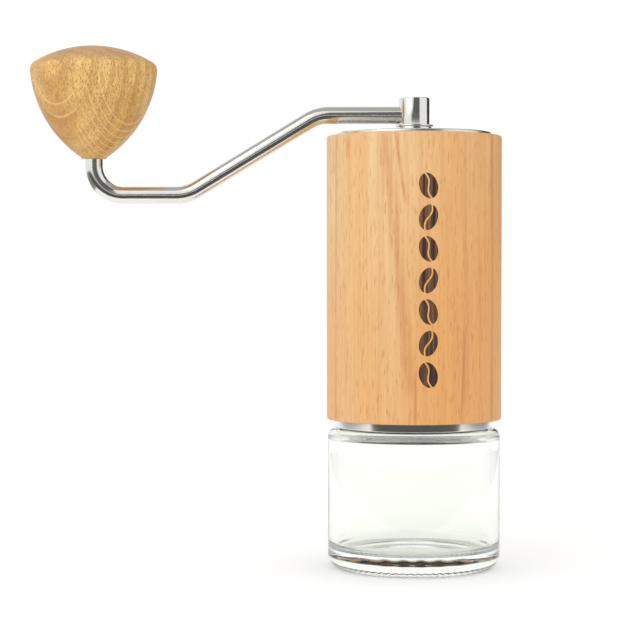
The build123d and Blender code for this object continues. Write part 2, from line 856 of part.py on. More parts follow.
with BuildPart() as knob_clip:
    wire_inner = rod_radius - wire_ring_depth + running_gap
    snap_ring(
        wire_inner,
        rod_radius + wire_ring_reach,
        wire_ring_foot,
        wire_ring_height,
        rod_radius,
        base=knob_plane,
    )
knob_clip.part.label = "knob_clip"
export_step(knob_clip.part, "parts/knob_clip.step")

# ---- knob and its bush ----

with BuildPart() as knob:
    with BuildSketch(Plane.XZ.move(Location((-crank_reach, 0, 0)))) as knob_outline:
        with BuildLine():
            rim_height = knob_top - knob_rim_drop
            foot_edge = knob_foot + knob_foot_height
            crown = RadiusArc((0, knob_top), (knob_radius, rim_height), knob_dome_radius)
            flank = RadiusArc(crown @ 1, (knob_foot_radius, foot_edge), knob_flank_radius)
            Polyline(
                flank @ 1,
                (knob_foot_radius - knob_foot_height / 2, knob_foot),
                (0, knob_foot),
                (0, knob_top),
            )
        make_face()
        fillet(knob_outline.vertices().sort_by_distance((knob_radius, rim_height))[0], knob_rim_round)
    revolve(axis=Axis((-crank_reach, 0, 0), (0, 0, 1)))
    bore_height = knob_bush_length + knob_bore_room
    ring(knob_bush_radius, 0, knob_foot, bore_height, mode=Mode.SUBTRACT, base=knob_plane)
knob.part.label = "knob"
export_step(knob.part, "parts/knob.step")

with BuildPart() as knob_bush:
    ring(knob_bush_radius, knob_bush_bore_radius, knob_foot, knob_bush_length, base=knob_plane)
    wire_room = wire_ring_height + wire_groove_play * 2
    ring(
        rod_radius + wire_ring_reach + groove_play,
        0,
        wire_ring_foot - wire_groove_play,
        wire_room,
        mode=Mode.SUBTRACT,
        base=knob_plane,
    )
knob_bush.part.label = "knob_bush"
export_step(knob_bush.part, "parts/knob_bush.step")
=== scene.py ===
"""A slim hand crank coffee grinder: turned wood, bent steel rod and a glass jar round its works."""

import json
import math

import bmesh
import bpy
from bpy.props import FloatProperty, FloatVectorProperty, IntProperty, PointerProperty
from bpy.types import Operator, Panel, PropertyGroup
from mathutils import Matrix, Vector


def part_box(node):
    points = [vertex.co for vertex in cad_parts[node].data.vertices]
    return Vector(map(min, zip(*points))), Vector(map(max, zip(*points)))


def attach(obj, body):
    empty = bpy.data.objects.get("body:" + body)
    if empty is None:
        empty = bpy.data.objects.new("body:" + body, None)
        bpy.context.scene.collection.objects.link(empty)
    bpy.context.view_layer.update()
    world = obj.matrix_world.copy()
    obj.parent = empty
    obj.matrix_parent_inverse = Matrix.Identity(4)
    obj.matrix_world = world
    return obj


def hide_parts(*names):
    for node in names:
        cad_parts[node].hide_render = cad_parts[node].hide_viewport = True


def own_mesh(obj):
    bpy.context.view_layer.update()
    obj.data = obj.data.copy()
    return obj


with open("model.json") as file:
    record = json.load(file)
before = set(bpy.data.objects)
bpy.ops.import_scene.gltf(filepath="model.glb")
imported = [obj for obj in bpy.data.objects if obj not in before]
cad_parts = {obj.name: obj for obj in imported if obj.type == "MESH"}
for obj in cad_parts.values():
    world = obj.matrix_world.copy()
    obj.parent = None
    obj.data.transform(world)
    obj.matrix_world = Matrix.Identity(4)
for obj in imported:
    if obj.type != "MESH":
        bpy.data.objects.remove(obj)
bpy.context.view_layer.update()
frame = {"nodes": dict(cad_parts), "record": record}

bl_info = {
    "name": "Hand Coffee Grinder",
    "version": (1, 0, 0),
    "blender": (4, 5, 0),
    "location": "3D View > Sidebar > Grinder",
    "description": "Builds the visible pieces of a hand crank coffee grinder round its frame",
    "category": "Add Mesh",
}

MM = 0.001
TINY = 1e-7
SHARP_ANGLE = math.radians(35)
WOUND_STEPS = 48  # per turn of a spring
WIRE_SIDES = 16

# ---- places taken from the frame ----

SLEEVE_LOW, SLEEVE_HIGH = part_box("wood_sleeve")
TUBE_LOW, TUBE_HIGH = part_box("steel_tube")
JAR_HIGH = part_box("jar_glass")[1]
FRAME_LOW, FRAME_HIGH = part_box("burr_frame")
LID_LOW, LID_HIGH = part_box("lid")
BUSH_LOW, BUSH_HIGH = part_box("lid_bush")
RING_LOW, RING_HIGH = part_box("lid_ring")
WASHER_LOW, WASHER_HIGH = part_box("crank_washer")
HUB_LOW, HUB_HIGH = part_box("crank_hub")
CLIP_LOW, CLIP_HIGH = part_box("crank_clip")
ARM_LOW, ARM_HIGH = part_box("crank_arm")
WIRE_LOW, WIRE_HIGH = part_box("knob_clip")
KNOB_LOW, KNOB_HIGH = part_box("knob")
KNOB_BUSH_LOW, KNOB_BUSH_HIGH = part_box("knob_bush")
SPRING_LOW, SPRING_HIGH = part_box("burr_spring")
KNOB_AXIS = (KNOB_BUSH_LOW.x + KNOB_BUSH_HIGH.x) / 2
SLOT_OF = {part["node"]: part["material_slot"] for part in frame["record"]["subparts"]}


def linear(red, green, blue):
    """A colour given as screen values from 0 to 255, as the linear values that shaders use."""
    shares = (value / 255 for value in (red, green, blue))
    return tuple(s / 12.92 if s <= 0.04045 else ((s + 0.055) / 1.055) ** 2.4 for s in shares)


def length(name, description, default):
    """A length that a user can change, shown in the scene's units."""
    kind = {"subtype": "DISTANCE", "unit": "LENGTH"}
    return FloatProperty(name=name, description=description, default=default, **kind)


def colour(name, description, default):
    """A colour that a user can change."""
    return FloatVectorProperty(
        name=name, description=description, default=default, subtype="COLOR", size=3, min=0, max=1
    )


class GrinderSizes(PropertyGroup):
    """Sizes of the turned, bent and blown pieces."""

    segments: IntProperty(name="Segments", description="Facets round a turned piece", default=192, min=24)
    sleeve_radius: length("Sleeve radius", "Outside of the wood sleeve", SLEEVE_HIGH.x)
    sleeve_edge: length("Sleeve edge", "Rounding of the sleeve's edges", 0.55 * MM)
    tube_radius: length("Tube radius", "Outside of the steel tube", TUBE_HIGH.x)
    tube_bore: length("Tube bore", "Inside radius of the steel tube", FRAME_HIGH.x)
    jar_radius: length("Jar radius", "Outside of the glass jar", JAR_HIGH.x)
    jar_wall: length("Jar wall", "Thickness of the jar's side", 3.0 * MM)
    jar_floor: length("Jar floor", "Thickness of the jar's base", 6.5 * MM)
    jar_shoulder: length("Jar shoulder", "Height of the jar's shoulder", TUBE_LOW.z - 0.5 * MM)
    neck_radius: length("Neck radius", "Outside of the jar's neck", 22.6 * MM)
    neck_wall: length("Neck wall", "Thickness of the jar's neck", 2.2 * MM)
    punt: length("Punt", "Rise of the hollow under the jar", 0.8 * MM)
    stipple_depth: length("Stipple depth", "Depth of the dimples round the jar's foot", 0.35 * MM)
    stipple_count: IntProperty(name="Stipples", description="Dimples round the jar's foot", default=72, min=8)
    rod_radius: length("Rod radius", "Half the thickness of the crank rod", ARM_HIGH.y)
    knee_radius: length("Knee radius", "Bends at both ends of the crank's slope", 14.0 * MM)
    stem_radius: length("Stem radius", "Bend below the knob", 10.0 * MM)
    knob_dome: length("Knob dome", "Radius of the arc over the knob", 39.3 * MM)
    knob_flank: length("Knob flank", "Radius of the arc down the knob's side", 39.6 * MM)
    knob_rim: length("Knob rim", "Rounding between the dome and the side", 3.0 * MM)
    bean_height: length("Bean height", "Length of each bean in the sleeve's motif", 8.6 * MM)
    bean_width: length("Bean width", "Width of each bean in the sleeve's motif", 6.2 * MM)


class GrinderFinish(PropertyGroup):
    """Colours of the materials."""

    cherry_pale: colour("Pale cherry", "Lightest wood of the sleeve", linear(223, 192, 143))
    cherry_warm: colour("Warm cherry", "Middle tone of the sleeve", linear(222, 163, 96))
    cherry_deep: colour("Deep cherry", "Streaks and pores of the sleeve", linear(193, 127, 72))
    oak_pale: colour("Pale oak", "Rays and early wood of the knob", linear(236, 196, 120))
    oak_warm: colour("Warm oak", "Middle tone of the knob", linear(201, 152, 81))
    oak_deep: colour("Deep oak", "Late wood and pores of the knob", linear(155, 105, 51))
    burnt: colour("Burnt wood", "The motif burnt into the sleeve", linear(46, 22, 16))
    steel: colour("Steel", "Bright steel", (0.82, 0.81, 0.77))
    tool_steel: colour("Tool steel", "Hardened burrs", (0.36, 0.36, 0.37))
    spring_steel: colour("Spring steel", "Blued springs and rings", (0.28, 0.28, 0.31))
    brass: colour("Brass", "Bushes and ball cages", (0.76, 0.55, 0.25))
    glass: colour("Glass", "Tint of the jar", (0.99, 0.994, 0.976))
    polymer: colour("Polymer", "Moulded frame and dial", (0.035, 0.036, 0.038))
    silicone: colour("Silicone", "Seals", (0.09, 0.09, 0.09))


class GrinderStage(PropertyGroup):
    """Camera and lights."""

    lens: FloatProperty(name="Lens", description="Focal length in millimetres", default=114.8)
    place: FloatVectorProperty(
        name="Camera place",
        description="Where the camera stands",
        default=(-0.0349, -0.686, 0.1036),
        subtype="XYZ",
    )
    tilt: FloatProperty(
        name="Camera tilt", description="How far it looks down", default=math.radians(1.34), subtype="ANGLE"
    )
    floor_size: length("Floor size", "Side of the pale floor", 8.0)
    surround: FloatProperty(name="Surround", description="Light from all round", default=1.0, min=0)
    softbox: FloatProperty(name="Softbox", description="Power of the large lamp in watts", default=4.0, min=0)


def sizes():
    """The sizes that the scene holds."""
    return bpy.context.scene.grinder_sizes


def finish():
    """The colours that the scene holds."""
    return bpy.context.scene.grinder_finish


# ---- outlines ----


def rounded(*corners, steps=6):
    """An outline through (radius, height, rounding) corners, with an arc where there is a rounding."""
    line = []
    for index, (radius, height, rounding) in enumerate(corners):
        here = Vector((radius, height))
        if rounding == 0:
            line.append((radius, height))
            continue
        before = (Vector(corners[index - 1][:2]) - here).normalized()
        after = (Vector(corners[(index + 1) % len(corners)][:2]) - here).normalized()
        half = before.angle(after) / 2
        centre = here + (before + after).normalized() * rounding / math.sin(half)
        reach = rounding / math.tan(half)
        start = here + before * reach - centre
        end = here + after * reach - centre
        for step in range(steps + 1):
            line.append(tuple(centre + start.slerp(end, step / steps) * rounding))
    return line


def arc(centre, start, end, steps):
    """Points along the shorter arc about centre from start to end, both on it."""
    middle = Vector(centre)
    from_middle, to_middle = Vector(start) - middle, Vector(end) - middle
    radius = from_middle.length
    return [tuple(middle + from_middle.slerp(to_middle, step / steps) * radius) for step in range(steps + 1)]


def arc_centre(start, end, radius):
    """The centre of an arc between two points that bulges to the left of the way from start to end."""
    first, last = Vector(start), Vector(end)
    chord = last - first
    right = Vector((chord.y, -chord.x)).normalized()
    return (first + last) / 2 + right * math.sqrt(radius**2 - (chord.length / 2) ** 2)


def crossing(first, first_radius, second, second_radius):
    """The outer of the two points at given distances from two centres."""
    apart = Vector(second) - Vector(first)
    along = (apart.length_squared + first_radius**2 - second_radius**2) / (2 * apart.length)
    aside = math.sqrt(first_radius**2 - along**2)
    direction = apart.normalized()
    across = Vector((direction.y, -direction.x))
    foot = Vector(first) + direction * along
    return max(foot + across * aside, foot - across * aside, key=lambda point: point.x)


def evenly(start, end, step):
    """Points on a straight stretch of outline, no further apart than step, without the end."""
    first, last = Vector(start), Vector(end)
    count = math.ceil((last - first).length / step)
    return [tuple(first.lerp(last, index / count)) for index in range(count)]


def ring(bore, radius, foot, head, *edges):
    """The outline of a plain ring, with a rounding for each corner from the bore's foot out and up."""
    corners = ((bore, foot), (radius, foot), (radius, head), (bore, head))
    return rounded(*((*corner, edge) for corner, edge in zip(corners, edges)))


def groove(outer, inner, foot, head, edge):
    """The corners of a groove, from its head down to its foot."""
    return (outer, head, edge), (inner, head, edge), (inner, foot, edge), (outer, foot, edge)


def joined(*stretches):
    """Stretches of outline in one line, without points that repeat the one before."""
    line = []
    for point in (point for stretch in stretches for point in stretch):
        if not line or (Vector(point[:2]) - Vector(line[-1][:2])).length > TINY:
            line.append(point)
    return line


# ---- meshes ----


def linked(name, data):
    """An object of its data, in the scene."""
    made = bpy.data.objects.new(name, data)
    bpy.context.scene.collection.objects.link(made)
    return made


def piece(name, mesh, body, *nodes):
    """An object made of a bmesh, which rides on a body and stands for CAD nodes."""
    bmesh.ops.recalc_face_normals(mesh, faces=mesh.faces)
    data = bpy.data.meshes.new(name)
    mesh.to_mesh(data)
    mesh.free()
    data.shade_smooth()
    data.set_sharp_from_angle(angle=SHARP_ANGLE)
    made = linked(name, data)
    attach(made, body)
    if nodes:
        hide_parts(*nodes)
        data.materials.append(material_for(SLOT_OF[nodes[0]]))
    return made


def turned(outline, segments, axis=0.0, closed=True, relief=None):
    """A bmesh turned about a vertical axis from (radius, height) or (radius, height, sides) points.

    A point with sides makes a polygon of that many flats. relief moves a point of the surface: it takes
    an angle, a radius and a height, and returns a radius and a height.
    """
    mesh = bmesh.new()
    loops = []
    for radius, height, *sides in outline:
        if radius < TINY:
            loops.append([mesh.verts.new((axis, 0, height))])
            continue
        loop = []
        for index in range(segments):
            angle = 2 * math.pi * index / segments
            reach, level = relief(angle, radius, height) if relief else (radius, height)
            if sides:
                flat = 2 * math.pi / sides[0]
                reach = radius / math.cos((angle + flat / 2) % flat - flat / 2)
            loop.append(mesh.verts.new((axis + reach * math.cos(angle), reach * math.sin(angle), level)))
        loops.append(loop)
    pairs = list(zip(loops, loops[1:]))
    if closed:
        pairs.append((loops[-1], loops[0]))
    for one, other in pairs:
        for index in range(segments):
            after = (index + 1) % segments
            corners = [one[index % len(one)], one[after % len(one)]]
            corners += [other[after % len(other)], other[index % len(other)]]
            mesh.faces.new(list(dict.fromkeys(corners)))
    return mesh


def skinned(mesh, loops):
    """Joins loops of vertices into a tube and closes both its ends."""
    for one, other in zip(loops, loops[1:]):
        for index in range(len(one)):
            after = (index + 1) % len(one)
            mesh.faces.new((one[index], one[after], other[after], other[index]))
    for loop in (loops[0], loops[-1]):
        mesh.faces.new(loop)
    return mesh


def drawn_rod(stations, segments):
    """A bmesh of a closed round rod in the crank's plane, through (x, height, radius) stations."""
    mesh = bmesh.new()
    points = [Vector((x, 0, height)) for x, height, radius in stations]
    runs = [after - before for before, after in zip(points, points[1:])]
    loops = []
    direction = runs[0].normalized()
    for index, (point, (_, _, radius)) in enumerate(zip(points, stations)):
        near = [run.normalized() for run in runs[max(index - 1, 0) : index + 1] if run.length > TINY]
        if near:
            direction = sum(near, Vector()).normalized()
        across = direction.cross(Vector((0, 1, 0)))
        loop = []
        for step in range(segments):
            angle = 2 * math.pi * step / segments
            offset = across * math.cos(angle) + Vector((0, 1, 0)) * math.sin(angle)
            loop.append(mesh.verts.new(point + offset * radius))
        loops.append(loop)
    return skinned(mesh, loops)


def wound(radius, wire, foot, head, turns):
    """A bmesh of a round-wire spring about the upright axis, closed at both ends."""
    mesh = bmesh.new()
    steps = turns * WOUND_STEPS
    loops = []
    for step in range(steps + 1):
        angle = 2 * math.pi * step / WOUND_STEPS
        outward = Vector((math.cos(angle), math.sin(angle), 0))
        middle = outward * radius
        middle.z = foot + wire / 2 + (head - foot - wire) * step / steps
        loop = []
        for side in range(WIRE_SIDES):
            turn = 2 * math.pi * side / WIRE_SIDES
            offset = outward * math.cos(turn) + Vector((0, 0, math.sin(turn)))
            loop.append(mesh.verts.new(middle + offset * wire / 2))
        loops.append(loop)
    return skinned(mesh, loops)


# ---- shader helpers ----


def place(tree, kind, settings=None, sockets=None):
    """A shader node with its settings, and its sockets given a value or linked to another node's output."""
    made = tree.nodes.new(kind)
    for name, value in (settings or {}).items():
        setattr(made, name, value)
    for name, value in (sockets or {}).items():
        if isinstance(value, bpy.types.NodeSocket):
            tree.links.new(value, made.inputs[name])
        else:
            made.inputs[name].default_value = value
    return made


def maths(tree, operation, *values):
    """The output of a math node."""
    return place(tree, "ShaderNodeMath", {"operation": operation}, dict(enumerate(values))).outputs[0]


def times(tree, first, second):
    """The product of two values."""
    return maths(tree, "MULTIPLY", first, second)


def smooth(tree, value, start, end, low=0.0, high=1.0):
    """A value taken smoothly from low at start to high at end."""
    settings = {"interpolation_type": "SMOOTHSTEP"}
    sockets = {"Value": value, "From Min": start, "From Max": end, "To Min": low, "To Max": high}
    return place(tree, "ShaderNodeMapRange", settings, sockets).outputs["Result"]


def mixed(tree, share, first, second):
    """Two colours mixed by a share from 0 to 1."""
    made = place(tree, "ShaderNodeMix", {"data_type": "RGBA"})
    for name, value in (("Factor_Float", share), ("A_Color", first), ("B_Color", second)):
        socket = next(entry for entry in made.inputs if entry.identifier == name)
        if isinstance(value, bpy.types.NodeSocket):
            tree.links.new(value, socket)
        else:
            socket.default_value = value if name == "Factor_Float" else (*value, 1.0)
    return next(entry for entry in made.outputs if entry.identifier == "Result_Color")


def stained(tree, skin, mask, strength, tone):
    """A colour with another laid over it where a mask says, at a given strength."""
    return mixed(tree, times(tree, mask, strength), skin, tone)


def stretched(tree, vector, across, along):
    """A vector scaled alike across X and Y, and on its own along Z."""
    scale = place(tree, "ShaderNodeCombineXYZ", sockets={"X": across, "Y": across, "Z": along}).outputs[0]
    return place(tree, "ShaderNodeVectorMath", {"operation": "MULTIPLY"}, {0: vector, 1: scale}).outputs[0]


def noise(tree, vector, scale=1.0, detail=2.0, roughness=0.5):
    """The value of a noise texture."""
    sockets = {"Vector": vector, "Scale": scale, "Detail": detail, "Roughness": roughness}
    return place(tree, "ShaderNodeTexNoise", sockets=sockets).outputs["Fac"]


def group(name, inputs, outputs, fill):
    """A shader node group with named sockets, built once; fill makes its inside and returns its outputs.

    inputs holds each input's name and value; one without a value is a vector.
    """
    made = bpy.data.node_groups.get(name)
    if made:
        return made
    made = bpy.data.node_groups.new(name, "ShaderNodeTree")
    for title, default in inputs.items():
        kind = "NodeSocketVector" if default is None else "NodeSocketFloat"
        socket = made.interface.new_socket(title, in_out="INPUT", socket_type=kind)
        if default is not None:
            socket.default_value = default
    for title in outputs:
        made.interface.new_socket(title, in_out="OUTPUT", socket_type="NodeSocketFloat")
    entry = made.nodes.new("NodeGroupInput")
    leave = made.nodes.new("NodeGroupOutput")
    for title, value in zip(outputs, fill(made, entry.outputs)):
        made.links.new(value, leave.inputs[title])
    return made


def use(tree, made, **sockets):
    """The outputs of a node group placed in a material; a socket's spaces are written as underscores."""
    named = {name.replace("_", " "): value for name, value in sockets.items()}
    return place(tree, "ShaderNodeGroup", {"node_tree": made}, named).outputs


def wood_fibres():
    """Short pores and long fibres that run up the wood."""

    def fill(tree, given):
        short = stretched(tree, given["Vector"], given["Pores Across"], given["Pores Along"])
        long = stretched(tree, given["Vector"], given["Fibres Across"], given["Fibres Along"])
        pores = noise(tree, short, detail=1.0)
        fibres = noise(tree, long, detail=3.0)
        pore = smooth(tree, pores, given["Pore Start"], maths(tree, "ADD", given["Pore Start"], 0.12))
        fibre = smooth(tree, fibres, 0.32, 0.68)
        height = maths(tree, "SUBTRACT", times(tree, fibre, 0.4), pore)
        return pore, fibre, height

    inputs = {
        "Vector": None,
        "Pores Across": 2600.0,
        "Pores Along": 260.0,
        "Pore Start": 0.6,
        "Fibres Across": 900.0,
        "Fibres Along": 26.0,
    }
    return group("Wood fibres", inputs, ("Pore", "Fibre", "Height"), fill)


def growth_rings():
    """Late wood that darkens towards the outside of each yearly ring."""

    def fill(tree, given):
        wander = times(tree, noise(tree, stretched(tree, given["Vector"], 60.0, 9.0)), given["Wander"])
        count = maths(tree, "DIVIDE", maths(tree, "ADD", given["Across"], wander), given["Spacing"])
        share = maths(tree, "FRACT", count)
        late = smooth(tree, share, 0.35, 0.92)
        early = smooth(tree, share, 0.92, 1.0, 1.0, 0.0)
        return (times(tree, late, early),)

    inputs = {"Vector": None, "Across": 0.0, "Spacing": 0.004, "Wander": 0.004}
    return group("Growth rings", inputs, ("Late Wood",), fill)


def streak():
    """One soft-edged streak in the wood, between two heights."""

    def fill(tree, given):
        up = maths(tree, "SUBTRACT", given["Height"], given["Foot"])
        offset = maths(tree, "SUBTRACT", given["Across"], given["Place"])
        offset = maths(tree, "SUBTRACT", offset, times(tree, up, given["Lean"]))
        line = smooth(tree, maths(tree, "ABSOLUTE", offset), 0.0, given["Width"], 1.0, 0.0)
        rise = smooth(tree, up, times(tree, given["Fade"], -1.0), given["Fade"])
        down = maths(tree, "SUBTRACT", given["Head"], given["Height"])
        fall = smooth(tree, down, times(tree, given["Fade"], -1.0), given["Fade"])
        return (times(tree, line, times(tree, rise, fall)),)

    inputs = dict.fromkeys(("Across", "Height", "Place", "Lean", "Foot"), 0.0)
    inputs.update({"Width": 0.001, "Head": 1.0, "Fade": 0.003})
    return group("Wood streak", inputs, ("Streak",), fill)


def streak_at(tree, across, height, middle, width, foot, head, lean=0.0):
    """Where a streak lies, from 0 to 1."""
    lengths = {"Place": middle, "Width": width, "Foot": foot, "Head": head, "Lean": lean}
    return use(tree, streak(), Across=across, Height=height, **lengths)["Streak"]


def fine_marks():
    """Fine scratches along one way with soft smudges over them, for metal, plastic and rubber."""

    def fill(tree, given):
        drawn_out = stretched(tree, given["Vector"], given["Across"], given["Along"])
        scratches = noise(tree, drawn_out, detail=3.0, roughness=0.7)
        smudges = noise(tree, given["Vector"], scale=given["Smudge Scale"], detail=2.0)
        both = maths(tree, "ADD", times(tree, scratches, 0.6), times(tree, smudges, 0.4))
        roughness = maths(tree, "MULTIPLY_ADD", both, given["Spread"], given["Base"])
        return roughness, scratches, smudges

    inputs = {"Vector": None, "Across": 4000.0, "Along": 4000.0, "Smudge Scale": 60.0}
    inputs.update({"Base": 0.1, "Spread": 0.1})
    return group("Fine marks", inputs, ("Roughness", "Scratches", "Smudges"), fill)


def shaded(name):
    """A new material, its node tree, its Principled shader and the place on the piece in its own frame."""
    made = bpy.data.materials.new(name)
    made.use_nodes = True
    tree = made.node_tree
    shader = next(entry for entry in tree.nodes if entry.type == "BSDF_PRINCIPLED")
    where = place(tree, "ShaderNodeTexCoord").outputs["Object"]
    return made, tree, shader, where


def dressed(tree, shader, skin, roughness):
    """Gives a shader its colour and its roughness."""
    tree.links.new(skin, shader.inputs["Base Color"])
    tree.links.new(roughness, shader.inputs["Roughness"])


def raised(tree, shader, height, distance, strength=1.0):
    """Small relief on a material."""
    sockets = {"Height": height, "Distance": distance, "Strength": strength}
    bump = place(tree, "ShaderNodeBump", sockets=sockets)
    tree.links.new(bump.outputs["Normal"], shader.inputs["Normal"])


# ---- wood ----

PORE_ROUGHNESS = 0.15  # added in the pores
CHERRY_ROUGHNESS = 0.46
CHERRY_BANDS = 0.5  # share of the warm tone in the bands, and what the foot and the right side add to it; the right side's share is painted shade
CHERRY_FOOT = 0.45
CHERRY_RIGHT_SHADE = 0.5
CHERRY_FIBRES = 0.26
CHERRY_PORES = 0.55
OAK_ROUGHNESS = 0.42
OAK_PATCHES = 0.7
OAK_FOOT = 0.5
OAK_LATE_WOOD = 0.3
OAK_FIBRES = 0.36
OAK_PORES = 0.7
OAK_END_GRAIN = 0.5
OAK_LINES = 0.55

# place and width across, lean, foot, head, strength: lengths in millimetres, heights above the sleeve's foot
CHERRY_STREAKS = (
    (-2.2, 3.4, -0.10, 10, 97, 0.55),
    (-4.4, 0.9, -0.14, 74, 97, 0.9),
    (-1.0, 0.8, 0.0, 0, 16, 0.8),
    (15.8, 2.0, 0.0, 6, 97, 0.5),
    (14.2, 0.7, 0.05, 0, 30, 0.9),
    (21.0, 0.7, 0.0, 0, 60, 0.35),
    (25.4, 0.9, 0.0, 0, 97, 0.9),
    (-27.0, 0.5, 0.0, 0, 97, 0.5),
    (-23.0, 1.3, 0.0, 91, 95, 0.7),
    (-13.0, 2.6, 0.0, 0, 97, 0.18),
)


def cherry():
    """Oiled cherry: pale vertical grain with warm bands, deep streaks and short pores, with shade painted
    down its right side.
    """
    colours = finish()
    made, tree, shader, where = shaded("Oiled cherry")
    axes = place(tree, "ShaderNodeSeparateXYZ", sockets={"Vector": where}).outputs
    grain = use(tree, wood_fibres(), Vector=where, Pores_Across=2100.0, Pores_Along=210.0, Pore_Start=0.58)
    bands = smooth(tree, noise(tree, stretched(tree, where, 75.0, 5.0), detail=3.0), 0.3, 0.75)
    lower = smooth(tree, axes["Z"], SLEEVE_HIGH.z, SLEEVE_LOW.z, 0.0, CHERRY_FOOT)
    # painted shade: the warmer, darker tone grows towards the sleeve's right side, away from the light
    right = smooth(tree, axes["X"], SLEEVE_LOW.x, SLEEVE_HIGH.x, 0.0, CHERRY_RIGHT_SHADE)
    tone = maths(tree, "ADD", maths(tree, "ADD", times(tree, bands, CHERRY_BANDS), lower), right)
    skin = mixed(tree, tone, colours.cherry_pale, colours.cherry_warm)
    skin = stained(tree, skin, grain["Fibre"], CHERRY_FIBRES, colours.cherry_deep)
    for across, width, lean, foot, head, strength in CHERRY_STREAKS:
        ends = SLEEVE_LOW.z + foot * MM, SLEEVE_LOW.z + head * MM
        line = streak_at(tree, axes["X"], axes["Z"], across * MM, width * MM, *ends, lean)
        broken = maths(tree, "MULTIPLY_ADD", grain["Fibre"], 0.5, 0.5)
        share = times(tree, times(tree, line, broken), strength)
        skin = mixed(tree, share, skin, colours.cherry_deep)
    skin = stained(tree, skin, grain["Pore"], CHERRY_PORES, colours.cherry_deep)
    dressed(tree, shader, skin, maths(tree, "MULTIPLY_ADD", grain["Pore"], PORE_ROUGHNESS, CHERRY_ROUGHNESS))
    raised(tree, shader, grain["Height"], 0.04 * MM, 0.6)
    return made


# place across, width, foot and head of the pale lines, in millimetres
OAK_RING_LINES = ((18.6, 0.24, 154, 167), (16.5, 0.24, 150, 158))
OAK_RAY_LINES = tuple((3.2 + 1.7 * index, 0.26, 141, 150 + 2.6 * index) for index in range(8))
OAK_RING_HEADING = math.radians(-35)


def oak():
    """Oiled oak turned with its grain upright: pores, yearly rings and pale rays cut by the taper."""
    colours = finish()
    made, tree, shader, where = shaded("Oiled oak")
    axes = place(tree, "ShaderNodeSeparateXYZ", sockets={"Vector": where}).outputs
    from_axis = maths(tree, "SUBTRACT", axes["X"], KNOB_AXIS)
    heading_x, heading_y = math.sin(OAK_RING_HEADING), -math.cos(OAK_RING_HEADING)
    rings_across = maths(tree, "MULTIPLY_ADD", axes["Y"], heading_y, times(tree, from_axis, heading_x))
    rays_across = maths(tree, "MULTIPLY_ADD", axes["Y"], heading_x, times(tree, from_axis, -heading_y))
    pores = {"Pores_Across": 2900.0, "Pores_Along": 900.0, "Pore_Start": 0.53}
    grain = use(tree, wood_fibres(), Vector=where, Fibres_Across=1500.0, Fibres_Along=160.0, **pores)
    yearly = {"Across": rings_across, "Spacing": 4.6 * MM, "Wander": 3.0 * MM}
    late = use(tree, growth_rings(), Vector=where, **yearly)["Late Wood"]
    patches = smooth(tree, noise(tree, stretched(tree, where, 110.0, 45.0)), 0.3, 0.72)
    lower = smooth(tree, axes["Z"], KNOB_HIGH.z - 10 * MM, KNOB_LOW.z, 0.0, OAK_FOOT)
    tone = maths(tree, "ADD", times(tree, patches, OAK_PATCHES), lower)
    skin = mixed(tree, tone, colours.oak_pale, colours.oak_warm)
    skin = stained(tree, skin, late, OAK_LATE_WOOD, colours.oak_deep)
    skin = stained(tree, skin, grain["Fibre"], OAK_FIBRES, colours.oak_deep)
    skin = stained(tree, skin, grain["Pore"], OAK_PORES, colours.oak_deep)
    dome = KNOB_HIGH.z - 7.2 * MM, KNOB_HIGH.z - 3.5 * MM
    end_grain = smooth(tree, axes["Z"], *dome, 0.0, OAK_END_GRAIN)
    skin = mixed(tree, end_grain, skin, colours.oak_deep)
    lines = [(rings_across, line) for line in OAK_RING_LINES]
    lines += [(rays_across, line) for line in OAK_RAY_LINES]
    for across, (middle, width, foot, head) in lines:
        mask = streak_at(tree, across, axes["Z"], middle * MM, width * MM, foot * MM, head * MM)
        skin = stained(tree, skin, mask, OAK_LINES, colours.oak_pale)
    dressed(tree, shader, skin, maths(tree, "MULTIPLY_ADD", grain["Pore"], PORE_ROUGHNESS, OAK_ROUGHNESS))
    raised(tree, shader, grain["Height"], 0.05 * MM, 0.6)
    return made


def burnt_wood():
    """Wood charred by a branding iron, matt and a little uneven."""
    colours = finish()
    made, tree, shader, where = shaded("Burnt wood")
    grain = use(tree, wood_fibres(), Vector=where)
    skin = mixed(tree, times(tree, grain["Fibre"], 0.35), colours.burnt, colours.cherry_deep)
    tree.links.new(skin, shader.inputs["Base Color"])
    shader.inputs["Roughness"].default_value = 0.7
    raised(tree, shader, grain["Height"], 0.03 * MM, 0.5)
    return made


# ---- metal ----


def metal(name, tone, base, spread, across, along, relief):
    """Bare metal whose fine marks run across or along the piece's axis."""
    tint = getattr(finish(), tone)
    made, tree, shader, where = shaded(name)
    marks = use(tree, fine_marks(), Vector=where, Across=across, Along=along, Base=base, Spread=spread)
    darker = tuple(channel * 0.82 for channel in tint)
    skin = mixed(tree, times(tree, marks["Smudges"], 0.5), tint, darker)
    dressed(tree, shader, skin, marks["Roughness"])
    shader.inputs["Metallic"].default_value = 1.0
    raised(tree, shader, marks["Scratches"], relief * MM, 0.4)
    return made


# name, colour, roughness and its spread, marks across and along the axis, relief in millimetres
METALS = {
    "polished_steel": ("Polished steel", "steel", 0.08, 0.1, 900.0, 3500.0, 0.0006),
    "brushed_steel": ("Brushed steel", "steel", 0.2, 0.16, 300.0, 9000.0, 0.004),
    "ground_steel": ("Ground steel", "steel", 0.14, 0.14, 700.0, 7000.0, 0.002),
    "burr_steel": ("Burr steel", "tool_steel", 0.3, 0.2, 2500.0, 2500.0, 0.006),
    "spring_steel": ("Spring steel", "spring_steel", 0.22, 0.15, 3000.0, 3000.0, 0.002),
    "brass": ("Turned brass", "brass", 0.18, 0.16, 500.0, 8000.0, 0.003),
}


# ---- glass, rubber and plastic ----


